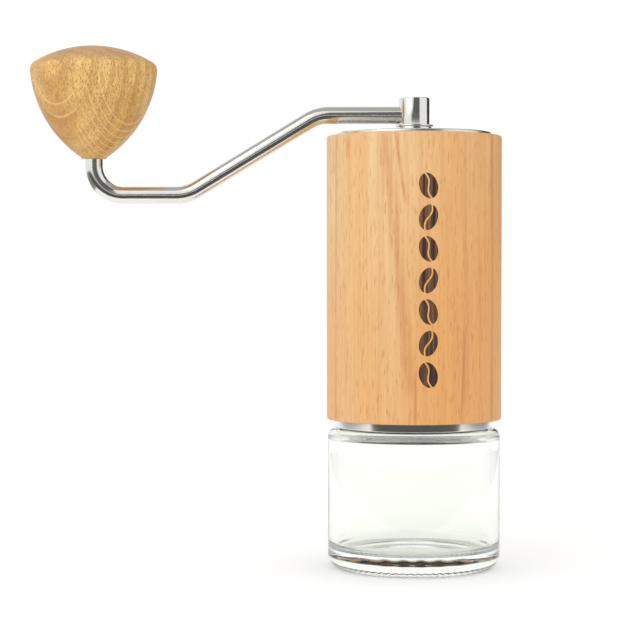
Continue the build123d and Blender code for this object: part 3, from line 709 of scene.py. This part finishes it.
def clear_glass():
    """Pressed clear glass with a faint green cast and a slightly uneven surface."""
    made, tree, shader, where = shaded("Pressed glass")
    scales = {"Across": 60.0, "Along": 60.0, "Smudge_Scale": 45.0}
    marks = use(tree, fine_marks(), Vector=where, Base=0.0, Spread=0.03, **scales)
    pale = finish().glass
    greener = (pale[0] * 0.97, pale[1], pale[2] * 0.96)
    dressed(tree, shader, mixed(tree, marks["Smudges"], pale, greener), marks["Roughness"])
    shader.inputs["Metallic"].default_value = 0.0
    shader.inputs["Transmission Weight"].default_value = 1.0
    shader.inputs["IOR"].default_value = 1.5
    raised(tree, shader, marks["Smudges"], 0.15 * MM, 0.25)
    return made


def moulded(name, tone, base, relief):
    """A moulded surface with a fine spark-eroded texture."""
    tint = getattr(finish(), tone)
    made, tree, shader, where = shaded(name)
    marks = use(tree, fine_marks(), Vector=where, Across=1800.0, Along=1800.0, Base=base, Spread=0.2)
    paler = tuple(channel * 1.5 + 0.01 for channel in tint)
    dressed(tree, shader, mixed(tree, marks["Smudges"], tint, paler), marks["Roughness"])
    raised(tree, shader, marks["Scratches"], relief * MM, 0.6)
    return made


# name, colour, roughness, relief in millimetres
MOULDINGS = {
    "silicone": ("Silicone rubber", "silicone", 0.55, 0.01),
    "frame_polymer": ("Frame nylon", "polymer", 0.42, 0.02),
    "dial_polymer": ("Dial acetal", "polymer", 0.3, 0.008),
}
OTHERS = {"cherry": cherry, "oak": oak, "glass": clear_glass, "burnt_wood": burnt_wood}
made_materials = {}


def material_for(slot):
    """The material of a slot, made the first time it is asked for."""
    if slot not in made_materials:
        if slot in METALS:
            made_materials[slot] = metal(*METALS[slot])
        elif slot in MOULDINGS:
            made_materials[slot] = moulded(*MOULDINGS[slot])
        else:
            made_materials[slot] = OTHERS[slot]()
    return made_materials[slot]


def paint(nodes):
    """Gives pieces that keep their own mesh their material."""
    for name in nodes:
        for entry in frame["nodes"][name].material_slots:
            entry.material = material_for(SLOT_OF[name])


# ---- body ----

BEAN_COUNT = 7
BEAN_PITCH = 10.4 * MM
BEAN_TOP = 18.0 * MM  # sleeve's top down to the first bean's middle
BEAN_SHIFT = 3.3 * MM  # to the right of the front
BEAN_LEAN = math.radians(16)
BEAN_SPLIT = 0.55 * MM
BEAN_SWAY = 0.2  # of the half width, the split's swing to each side
BEAN_PROUD = 0.015 * MM
BEAN_DEPTH = 0.12 * MM
BEAN_ROWS = 28
BEAN_COLUMNS = 4
TUBE_EDGE = 0.3 * MM


def bean_half(mesh, side, middle, lean):
    """One half of a bean, laid on the sleeve as a thin charred skin."""
    given = sizes()
    rows = []
    for row in range(BEAN_ROWS + 1):
        share = math.sin(math.pi / 2 * (2 * row / BEAN_ROWS - 1))
        outer = side * given.bean_width / 2 * math.sqrt(max(1 - share**2, 0))
        inner = given.bean_width / 2 * BEAN_SWAY * math.sin(math.pi * share) + side * BEAN_SPLIT / 2
        if side * (outer - inner) <= TINY:
            continue
        up = share * given.bean_height / 2
        loop = []
        for column in range(BEAN_COLUMNS + 1):
            aside = inner + (outer - inner) * column / BEAN_COLUMNS
            across = aside * math.cos(lean) - up * math.sin(lean) + BEAN_SHIFT
            height = middle + aside * math.sin(lean) + up * math.cos(lean)
            angle = across / given.sleeve_radius - math.pi / 2
            reach = given.sleeve_radius + BEAN_PROUD
            loop.append(mesh.verts.new((reach * math.cos(angle), reach * math.sin(angle), height)))
        rows.append(loop)
    faces = []
    for lower, upper in zip(rows, rows[1:]):
        for column in range(BEAN_COLUMNS):
            faces.append(mesh.faces.new((lower[column], lower[column + 1], upper[column + 1], upper[column])))
    under = bmesh.ops.extrude_face_region(mesh, geom=faces, use_keep_orig=True)["geom"]
    for vertex in (part for part in under if isinstance(part, bmesh.types.BMVert)):
        flat = Vector((vertex.co.x, vertex.co.y, 0))
        vertex.co -= flat.normalized() * BEAN_DEPTH


class GRINDER_OT_sleeve(Operator):
    """Turns the cherry sleeve and burns a column of coffee beans into it"""

    bl_idname = "grinder.sleeve"
    bl_label = "Wood Sleeve"

    def execute(self, context):
        given = sizes()
        edge = given.sleeve_edge
        outline = ring(given.tube_radius, given.sleeve_radius, SLEEVE_LOW.z, SLEEVE_HIGH.z, 0, edge, edge, 0)
        piece("turned_sleeve", turned(outline, given.segments), "housing", "wood_sleeve")
        mesh = bmesh.new()
        for index in range(BEAN_COUNT):
            middle = SLEEVE_HIGH.z - BEAN_TOP - BEAN_PITCH * index
            for side in (-1, 1):
                bean_half(mesh, side, middle, BEAN_LEAN * (-1) ** index)
        beans = piece("burnt_beans", mesh, "housing")
        beans.data.materials.append(material_for("burnt_wood"))
        return {"FINISHED"}


class GRINDER_OT_tube(Operator):
    """Draws the steel tube whose foot shows as a bright band below the sleeve"""

    bl_idname = "grinder.tube"
    bl_label = "Steel Tube"

    def execute(self, context):
        given = sizes()
        edges = (TUBE_EDGE, TUBE_EDGE, TUBE_EDGE / 2, TUBE_EDGE / 2)
        outline = ring(given.tube_bore, given.tube_radius, TUBE_LOW.z, TUBE_HIGH.z, *edges)
        piece("drawn_tube", turned(outline, given.segments), "housing", "steel_tube")
        return {"FINISHED"}


# ---- jar ----

JAR_SEGMENTS_PER_STIPPLE = 6
FOOT_FACE = (22.0 * MM, 26.2 * MM)  # the ring that the jar stands on
STIPPLE_RING = (23.4 * MM, 28.8 * MM)
STIPPLE_HEAD = 2.6 * MM  # height where the dimples run out on the heel
PUNT_STEPS = 10
HEEL_STEPS = 14
BORE_STEPS = 8
HEEL_HEIGHT = 4.6 * MM
HEEL_RADIUS = 5.1 * MM
SHOULDER_ROUND = 2.6 * MM
SHOULDER_WALL = 1.6 * MM
LIP_ROUND = 0.55 * MM
NECK_ROWS = 0.22 * MM
THREAD_PITCH = 4.0 * MM
THREAD_TURNS = 1.5
THREAD_START = math.radians(40)
THREAD_DEPTH = 1.0 * MM
THREAD_CREST = 0.45 * MM  # half the ridge's width at its crest
THREAD_ROOT = 0.9 * MM  # and at its root
THREAD_RUN_OUT = 0.06  # of a turn


def ramp(value, start, end):
    """A smooth step from 0 at start to 1 at end."""
    share = min(max((value - start) / (end - start), 0), 1)
    return share * share * (3 - 2 * share)


def jar_relief(angle, radius, height):
    """The screw ridge on the jar's neck and the dimples under its foot."""
    given = sizes()
    if abs(radius - given.neck_radius) < TINY and height > given.jar_shoulder:
        first = (angle - THREAD_START) / (2 * math.pi) % 1
        ridge = 0
        for turn in (first, first + 1):
            if turn <= THREAD_TURNS:
                middle = FRAME_LOW.z + THREAD_PITCH * (1 + turn)
                body = ramp(abs(height - middle), THREAD_ROOT, THREAD_CREST)
                ends = ramp(turn, 0, THREAD_RUN_OUT) * ramp(THREAD_TURNS - turn, 0, THREAD_RUN_OUT)
                ridge = max(ridge, body * ends)
        return radius + THREAD_DEPTH * ridge, height
    inner, outer = STIPPLE_RING
    if height < STIPPLE_HEAD and inner < radius < outer:
        along = math.sin(math.pi * (radius - inner) / (outer - inner))
        around = max(math.cos(given.stipple_count * angle), 0)
        return radius, height + given.stipple_depth * along * around
    return radius, height


class GRINDER_OT_jar(Operator):
    """Presses the glass jar, with its heavy foot, dimples, shoulder, screw neck and lip"""

    bl_idname = "grinder.jar"
    bl_label = "Glass Jar"

    def execute(self, context):
        given = sizes()
        inner = given.jar_radius - given.jar_wall
        neck_root = given.jar_shoulder - SHOULDER_WALL
        neck_bore = given.neck_radius - given.neck_wall
        dome = (FOOT_FACE[0] ** 2 + given.punt**2) / (2 * given.punt)
        heel_top = (given.jar_radius, HEEL_HEIGHT)
        heel = arc_centre(heel_top, (FOOT_FACE[1], 0), HEEL_RADIUS)
        neck = (given.neck_radius, given.jar_shoulder + 4 * LIP_ROUND)
        lip = (given.neck_radius, JAR_HIGH.z - 2 * LIP_ROUND)
        outline = joined(
            arc((0, given.punt - dome), (0, given.punt), (FOOT_FACE[0], 0), PUNT_STEPS),
            evenly((FOOT_FACE[0], 0), (FOOT_FACE[1], 0), FOOT_FACE[1] / 80),
            arc(heel, (FOOT_FACE[1], 0), heel_top, HEEL_STEPS),
            rounded(
                (*heel_top, 0),
                (given.jar_radius, given.jar_shoulder, SHOULDER_ROUND),
                (given.neck_radius, given.jar_shoulder, LIP_ROUND),
                (*neck, 0),
            ),
            evenly(neck, lip, NECK_ROWS),
            rounded(
                (*lip, 0),
                (given.neck_radius, JAR_HIGH.z, LIP_ROUND),
                (neck_bore, JAR_HIGH.z, LIP_ROUND),
                (neck_bore, neck_root, LIP_ROUND),
                (inner, neck_root, SHOULDER_ROUND),
                (inner, given.jar_floor, given.jar_wall),
                (0, given.jar_floor, 0),
                steps=BORE_STEPS,
            ),
        )
        segments = given.stipple_count * JAR_SEGMENTS_PER_STIPPLE
        mesh = turned(outline, segments, closed=False, relief=jar_relief)
        jar = piece("pressed_jar", mesh, "jar", "jar_glass")
        jar.visible_shadow = False
        return {"FINISHED"}


# ---- lid ----

LID_BOSS = 9.0 * MM
LID_SAG = 0.28 * MM
LID_CROWN = 200 * MM  # radius of the crown
LID_EDGE = 0.85 * MM  # crown down to the rim
SKIRT_GAP = 0.3 * MM
SKIRT_WALL = 2.3 * MM
RING_GROOVE = 1.1 * MM
RING_PLAY = 0.15 * MM
SPIGOT_RADIUS = 5.0 * MM
SPIGOT_GAP = 0.05 * MM


class GRINDER_OT_lid(Operator):
    """Turns the steel lid and the bush that the crank's spigot runs in"""

    bl_idname = "grinder.lid"
    bl_label = "Lid"

    def execute(self, context):
        given = sizes()
        rim = LID_HIGH.x
        skirt = given.tube_bore - SKIRT_GAP
        half_way = (LID_BOSS + rim) / 2
        outline = rounded(
            (BUSH_HIGH.x, LID_LOW.z, 0.1 * MM),
            (BUSH_HIGH.x, LID_HIGH.z, 0.15 * MM),
            (LID_BOSS, LID_HIGH.z, 1.0 * MM),
            (half_way, LID_HIGH.z - LID_SAG, LID_CROWN),
            (rim, LID_HIGH.z - LID_EDGE, 0.5 * MM),
            (rim, TUBE_HIGH.z, 0.2 * MM),
            (skirt, TUBE_HIGH.z, 0.1 * MM),
            *groove(skirt, skirt - RING_GROOVE, RING_LOW.z - RING_PLAY, RING_HIGH.z + RING_PLAY, 0.1 * MM),
            (skirt, LID_LOW.z, 0.4 * MM),
            (skirt - SKIRT_WALL, LID_LOW.z, 0.3 * MM),
            (skirt - SKIRT_WALL, TUBE_HIGH.z, 0.5 * MM),
            (LID_BOSS, TUBE_HIGH.z, 0.5 * MM),
            (LID_BOSS, LID_LOW.z, 0.4 * MM),
        )
        piece("turned_lid", turned(outline, given.segments), "lid_group", "lid")
        bore = SPIGOT_RADIUS + SPIGOT_GAP
        edges = (0.15 * MM, 0.15 * MM, 0.25 * MM, 0.15 * MM)
        outline = ring(bore, BUSH_HIGH.x, BUSH_LOW.z, BUSH_HIGH.z, *edges)
        piece("turned_bush", turned(outline, given.segments), "lid_group", "lid_bush")
        paint(["lid_ring"])
        return {"FINISHED"}


# ---- crank ----

HUB_RADIUS = HUB_HIGH.x
HUB_EDGE = 0.4 * MM
CLIP_GROOVE = 0.5 * MM
CLIP_PLAY = 0.05 * MM
SOCKET_FLATS = 6.1 * MM
SOCKET_DEPTH = 11.5 * MM
HEX_SIDES = 6
ROD_RISE = 3.4 * MM  # rod's centre above the washer
ROD_EDGE = 0.3 * MM
BEND_STEPS = 20
UPPER_RUN = 33.0 * MM
LOWER_RUN = 32.1 * MM
WIRE_GROOVE = 0.4 * MM
WIRE_PLAY = 0.1 * MM


class GRINDER_OT_crank(Operator):
    """Turns the hub and washer and bends the crank rod"""

    bl_idname = "grinder.crank"
    bl_label = "Crank"

    def execute(self, context):
        given = sizes()
        waist = SPIGOT_RADIUS - CLIP_GROOVE
        socket_top = HUB_LOW.z + SOCKET_DEPTH
        flats = SOCKET_FLATS / 2
        outline = rounded(
            (0, HUB_HIGH.z, 0),
            (HUB_RADIUS, HUB_HIGH.z, HUB_EDGE),
            (HUB_RADIUS, WASHER_HIGH.z, 0.1 * MM),
            (SPIGOT_RADIUS, WASHER_HIGH.z, 0),
            *groove(SPIGOT_RADIUS, waist, CLIP_LOW.z - CLIP_PLAY, CLIP_HIGH.z + CLIP_PLAY, 0.05 * MM),
            (SPIGOT_RADIUS, HUB_LOW.z, 0.3 * MM),
            (waist, HUB_LOW.z, 0),
        )
        outline += [(flats, HUB_LOW.z, HEX_SIDES), (flats, socket_top, HEX_SIDES), (0, socket_top)]
        piece("turned_hub", turned(outline, given.segments, closed=False), "crank", "crank_hub")
        edges = (0.08 * MM, 0.15 * MM, 0.15 * MM, 0.08 * MM)
        outline = ring(SPIGOT_RADIUS, WASHER_HIGH.x, WASHER_LOW.z, WASHER_HIGH.z, *edges)
        piece("turned_washer", turned(outline, given.segments), "crank", "crank_washer")
        piece("bent_rod", drawn_rod(self.stations(), given.segments // 2), "crank", "crank_arm")
        paint(["crank_clip", "knob_clip"])
        return {"FINISHED"}

    @staticmethod
    def stations():
        """The rod's middle and radius from the hub, down the slope and up into the knob."""
        given = sizes()
        upper = WASHER_HIGH.z + ROD_RISE
        lower = ARM_LOW.z + given.rod_radius
        route = rounded(
            (ARM_HIGH.x - ROD_EDGE, upper, 0),
            (-UPPER_RUN, upper, given.knee_radius),
            (KNOB_AXIS + LOWER_RUN, lower, given.knee_radius),
            (KNOB_AXIS, lower, given.stem_radius),
            (KNOB_AXIS, ARM_HIGH.z - ROD_EDGE, 0),
            steps=BEND_STEPS,
        )
        waist = given.rod_radius - WIRE_GROOVE
        groove_foot, groove_head = WIRE_LOW.z - WIRE_PLAY, WIRE_HIGH.z + WIRE_PLAY
        stations = [(x, height, given.rod_radius) for x, height in route]
        stations.insert(0, (ARM_HIGH.x, upper, given.rod_radius - ROD_EDGE))
        stations[-1:] = [
            (KNOB_AXIS, groove_foot, given.rod_radius),
            (KNOB_AXIS, groove_foot, waist),
            (KNOB_AXIS, groove_head, waist),
            (KNOB_AXIS, groove_head, given.rod_radius),
            (KNOB_AXIS, ARM_HIGH.z - ROD_EDGE, given.rod_radius),
            (KNOB_AXIS, ARM_HIGH.z, given.rod_radius - ROD_EDGE),
        ]
        return stations


# ---- knob ----

KNOB_RIM_DROP = 6.6 * MM
KNOB_RADIUS = 21.83 * MM
KNOB_FOOT_RADIUS = 4.45 * MM
KNOB_FOOT_HEIGHT = 0.6 * MM
KNOB_BORE_ROOM = 0.5 * MM
DOME_STEPS = 24
RIM_STEPS = 12
FLANK_STEPS = 48


class GRINDER_OT_knob(Operator):
    """Turns the oak knob from its dome, rim and flank arcs"""

    bl_idname = "grinder.knob"
    bl_label = "Knob"

    def execute(self, context):
        given = sizes()
        top = (0, KNOB_HIGH.z)
        rim = (KNOB_RADIUS, KNOB_HIGH.z - KNOB_RIM_DROP)
        foot = (KNOB_FOOT_RADIUS, KNOB_LOW.z + KNOB_FOOT_HEIGHT)
        dome = arc_centre(top, rim, given.knob_dome)
        flank = arc_centre(rim, foot, given.knob_flank)
        corner = crossing(dome, given.knob_dome - given.knob_rim, flank, given.knob_flank - given.knob_rim)
        above = corner + (corner - dome).normalized() * given.knob_rim
        below = corner + (corner - flank).normalized() * given.knob_rim
        bore = KNOB_BUSH_HIGH.x - KNOB_AXIS
        bore_top = KNOB_BUSH_HIGH.z + KNOB_BORE_ROOM
        outline = joined(
            arc(dome, top, above, DOME_STEPS),
            arc(corner, above, below, RIM_STEPS),
            arc(flank, below, foot, FLANK_STEPS),
            rounded(
                (*foot, 0),
                (KNOB_FOOT_RADIUS - KNOB_FOOT_HEIGHT / 2, KNOB_LOW.z, 0),
                (bore, KNOB_LOW.z, 0),
                (bore, bore_top, 0.3 * MM),
                (0, bore_top, 0),
            ),
        )
        mesh = turned(outline, given.segments, axis=KNOB_AXIS, closed=False)
        piece("turned_knob", mesh, "knob_group", "knob")
        paint(["knob_bush"])
        return {"FINISHED"}


# ---- works inside, which keep their own meshes ----


class PaintsNodes:
    """What the operators share that only give pieces their finish."""

    nodes = ()

    def execute(self, context):
        paint(self.nodes)
        return {"FINISHED"}


class GRINDER_OT_frames(PaintsNodes, Operator):
    """Finishes the moulded frames that hold the works"""

    bl_idname = "grinder.frames"
    bl_label = "Frames"
    nodes = ("burr_frame", "upper_bridge", "jar_seal")


class GRINDER_OT_burrs(PaintsNodes, Operator):
    """Finishes the burrs, their washer and their screws"""

    bl_idname = "grinder.burrs"
    bl_label = "Burrs"
    nodes = ("ring_burr", "ring_burr_screws", "cone_burr", "click_plate", "spring_washer")


SPRING_WIRE = 1.0 * MM
SPRING_TURNS = 5


class GRINDER_OT_spring(Operator):
    """Winds the burr spring, which rides on the inner burr"""

    bl_idname = "grinder.spring"
    bl_label = "Burr Spring"

    def execute(self, context):
        radius = SPRING_HIGH.x - SPRING_WIRE / 2
        mesh = wound(radius, SPRING_WIRE, SPRING_LOW.z, SPRING_HIGH.z, SPRING_TURNS)
        spring = piece("wound_spring", mesh, "inner_burr", "burr_spring")
        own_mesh(spring)
        return {"FINISHED"}


class GRINDER_OT_bearings(PaintsNodes, Operator):
    """Finishes both ball bearings and their rings"""

    bl_idname = "grinder.bearings"
    bl_label = "Bearings"
    nodes = tuple(
        f"{place}_bearing_{part}"
        for place in ("upper", "lower")
        for part in ("outer", "inner", "cage", "balls", "clip")
    )


class GRINDER_OT_axle(PaintsNodes, Operator):
    """Finishes the axle, its pin and its clips"""

    bl_idname = "grinder.axle"
    bl_label = "Axle"
    nodes = ("axle", "axle_clips", "drive_pin")


class GRINDER_OT_dial(PaintsNodes, Operator):
    """Finishes the grind dial, its insert, balls and springs"""

    bl_idname = "grinder.dial"
    bl_label = "Grind Dial"
    nodes = ("dial", "dial_insert", "detent_balls", "detent_springs")


# ---- stage ----

# name, heading from the front towards the right, distance, width, foot, head, brightness
CARDS = (
    ("camera_card", 8, 1.3, 1.6, 0.1, 2.2, 0.13),
    ("right_card", 140, 0.9, 1.1, 0.1, 1.4, 0.05),
)
# name, left, right, front and back, height, brightness
FLAT_CARDS = (
    ("ceiling_card", -0.8, 0.8, -0.8, 0.8, 1.2, 0.5),
    ("apron_card", -1.4, 1.2, -1.4, -0.12, 0.001, 0.1),
    ("left_apron_card", -1.4, -0.3, -0.12, 0.5, 0.001, 0.28),
    ("right_apron_card", 0.3, 1.2, -0.12, 0.5, 0.001, 0.28),
)
SOFTBOX_PLACE = Vector((-0.55, -0.8, 0.75))
SOFTBOX_SIZE = 1.2


def sheet_of(name, corners, material):
    """A flat four-cornered piece of the stage."""
    data = bpy.data.meshes.new(name)
    data.from_pydata(corners, [], [(0, 1, 2, 3)])
    data.materials.append(material)
    made = linked(name, data)
    return made


def glowing(name, brightness):
    """A plain even tone that only reflections and glass see."""
    made = bpy.data.materials.new(name)
    made.use_nodes = True
    made.node_tree.nodes.clear()
    tone = (brightness, brightness, brightness * 0.97, 1)
    glow = place(made.node_tree, "ShaderNodeEmission", sockets={"Color": tone})
    leave = place(made.node_tree, "ShaderNodeOutputMaterial")
    made.node_tree.links.new(glow.outputs[0], leave.inputs["Surface"])
    return made


def card(name, corners, brightness):
    """A plain card that only reflections see, out of the camera's sight and out of the lighting."""
    made = sheet_of(name, corners, glowing(name, brightness))
    made.visible_camera = False
    made.visible_diffuse = False
    made.visible_transmission = False
    made.visible_shadow = False


class GRINDER_OT_stage(Operator):
    """Lays the pale floor and sets the lights, reflection cards and camera"""

    bl_idname = "grinder.stage"
    bl_label = "Stage"

    def execute(self, context):
        given = context.scene.grinder_stage
        self.lay_floor(given.floor_size / 2)
        for name, heading, distance, width, foot, head, brightness in CARDS:
            angle = math.radians(heading)
            out = Vector((math.sin(angle), -math.cos(angle), 0))
            side = Vector((math.cos(angle), math.sin(angle), 0)) * width / 2
            ends = ((-1, foot), (1, foot), (1, head), (-1, head))
            corners = [out * distance + side * way + Vector((0, 0, height)) for way, height in ends]
            card(name, corners, brightness)
        for name, left, right, front, back, height, brightness in FLAT_CARDS:
            ends = ((left, front), (right, front), (right, back), (left, back))
            corners = [(x, y, height) for x, y in ends]
            card(name, corners, brightness)
        self.light(given)
        self.set_camera(given)
        return {"FINISHED"}

    @staticmethod
    def lay_floor(half):
        """A pale floor, very slightly uneven in tone."""
        made, tree, shader, where = shaded("Pale floor")
        tone = mixed(tree, noise(tree, where, scale=3.0), (0.93, 0.93, 0.925), (0.95, 0.95, 0.945))
        tree.links.new(tone, shader.inputs["Base Color"])
        shader.inputs["Roughness"].default_value = 0.9
        shader.inputs["Specular IOR Level"].default_value = 0.1
        tree.links.new(tone, shader.inputs["Emission Color"])
        shader.inputs["Emission Strength"].default_value = 0.08
        sheet_of("floor", [(x * half, y * half, 0) for x, y in ((-1, -1), (1, -1), (1, 1), (-1, 1))], made)

    @staticmethod
    def light(given):
        """Even light from all round, and a large soft lamp at the front left."""
        world = bpy.data.worlds.new("Studio")
        world.use_nodes = True
        background = world.node_tree.nodes["Background"]
        background.inputs["Color"].default_value = (1, 1, 1, 1)
        background.inputs["Strength"].default_value = given.surround
        scene = bpy.context.scene
        scene.world = world
        scene.view_settings.view_transform = "Standard"
        data = bpy.data.lights.new("softbox", "AREA")
        data.shape = "SQUARE"
        data.size = SOFTBOX_SIZE
        data.energy = given.softbox
        lamp = linked("softbox", data)
        lamp.location = SOFTBOX_PLACE
        middle = Vector((0, 0, SLEEVE_LOW.z + SLEEVE_HIGH.z)) / 2
        lamp.rotation_euler = (middle - SOFTBOX_PLACE).to_track_quat("-Z", "Y").to_euler()

    @staticmethod
    def set_camera(given):
        """The camera, level with the sleeve and looking very slightly down."""
        data = bpy.data.cameras.new("camera")
        data.lens = given.lens
        camera = linked("camera", data)
        camera.location = given.place
        camera.rotation_euler = (math.pi / 2 - given.tilt, 0, 0)
        bpy.context.scene.camera = camera


# ---- panel and registration ----

STEPS = (
    GRINDER_OT_stage,
    GRINDER_OT_sleeve,
    GRINDER_OT_tube,
    GRINDER_OT_jar,
    GRINDER_OT_lid,
    GRINDER_OT_crank,
    GRINDER_OT_knob,
    GRINDER_OT_frames,
    GRINDER_OT_burrs,
    GRINDER_OT_spring,
    GRINDER_OT_bearings,
    GRINDER_OT_axle,
    GRINDER_OT_dial,
)
SETTINGS = {"grinder_sizes": GrinderSizes, "grinder_finish": GrinderFinish, "grinder_stage": GrinderStage}


class GRINDER_PT_panel(Panel):
    """Lists the grinder's pieces, sizes and colours"""

    bl_label = "Coffee Grinder"
    bl_space_type = "VIEW_3D"
    bl_region_type = "UI"
    bl_category = "Grinder"

    def draw(self, context):
        for step in STEPS:
            self.layout.operator(step.bl_idname)
        for name in SETTINGS:
            held = getattr(context.scene, name)
            box = self.layout.box()
            for entry in held.bl_rna.properties:
                if entry.identifier not in ("rna_type", "name"):
                    box.prop(held, entry.identifier)


CLASSES = (*SETTINGS.values(), *STEPS, GRINDER_PT_panel)


def register():
    """Adds the classes and the settings that each scene holds."""
    for entry in CLASSES:
        bpy.utils.register_class(entry)
    for name, held in SETTINGS.items():
        setattr(bpy.types.Scene, name, PointerProperty(type=held))


def unregister():
    """Takes away what register added."""
    for name in SETTINGS:
        delattr(bpy.types.Scene, name)
    for entry in reversed(CLASSES):
        bpy.utils.unregister_class(entry)


def main():
    """Builds the grinder on its stage."""
    register()
    for step in STEPS:
        family, name = step.bl_idname.split(".")
        getattr(getattr(bpy.ops, family), name)()


if __name__ == "__main__":
    main()
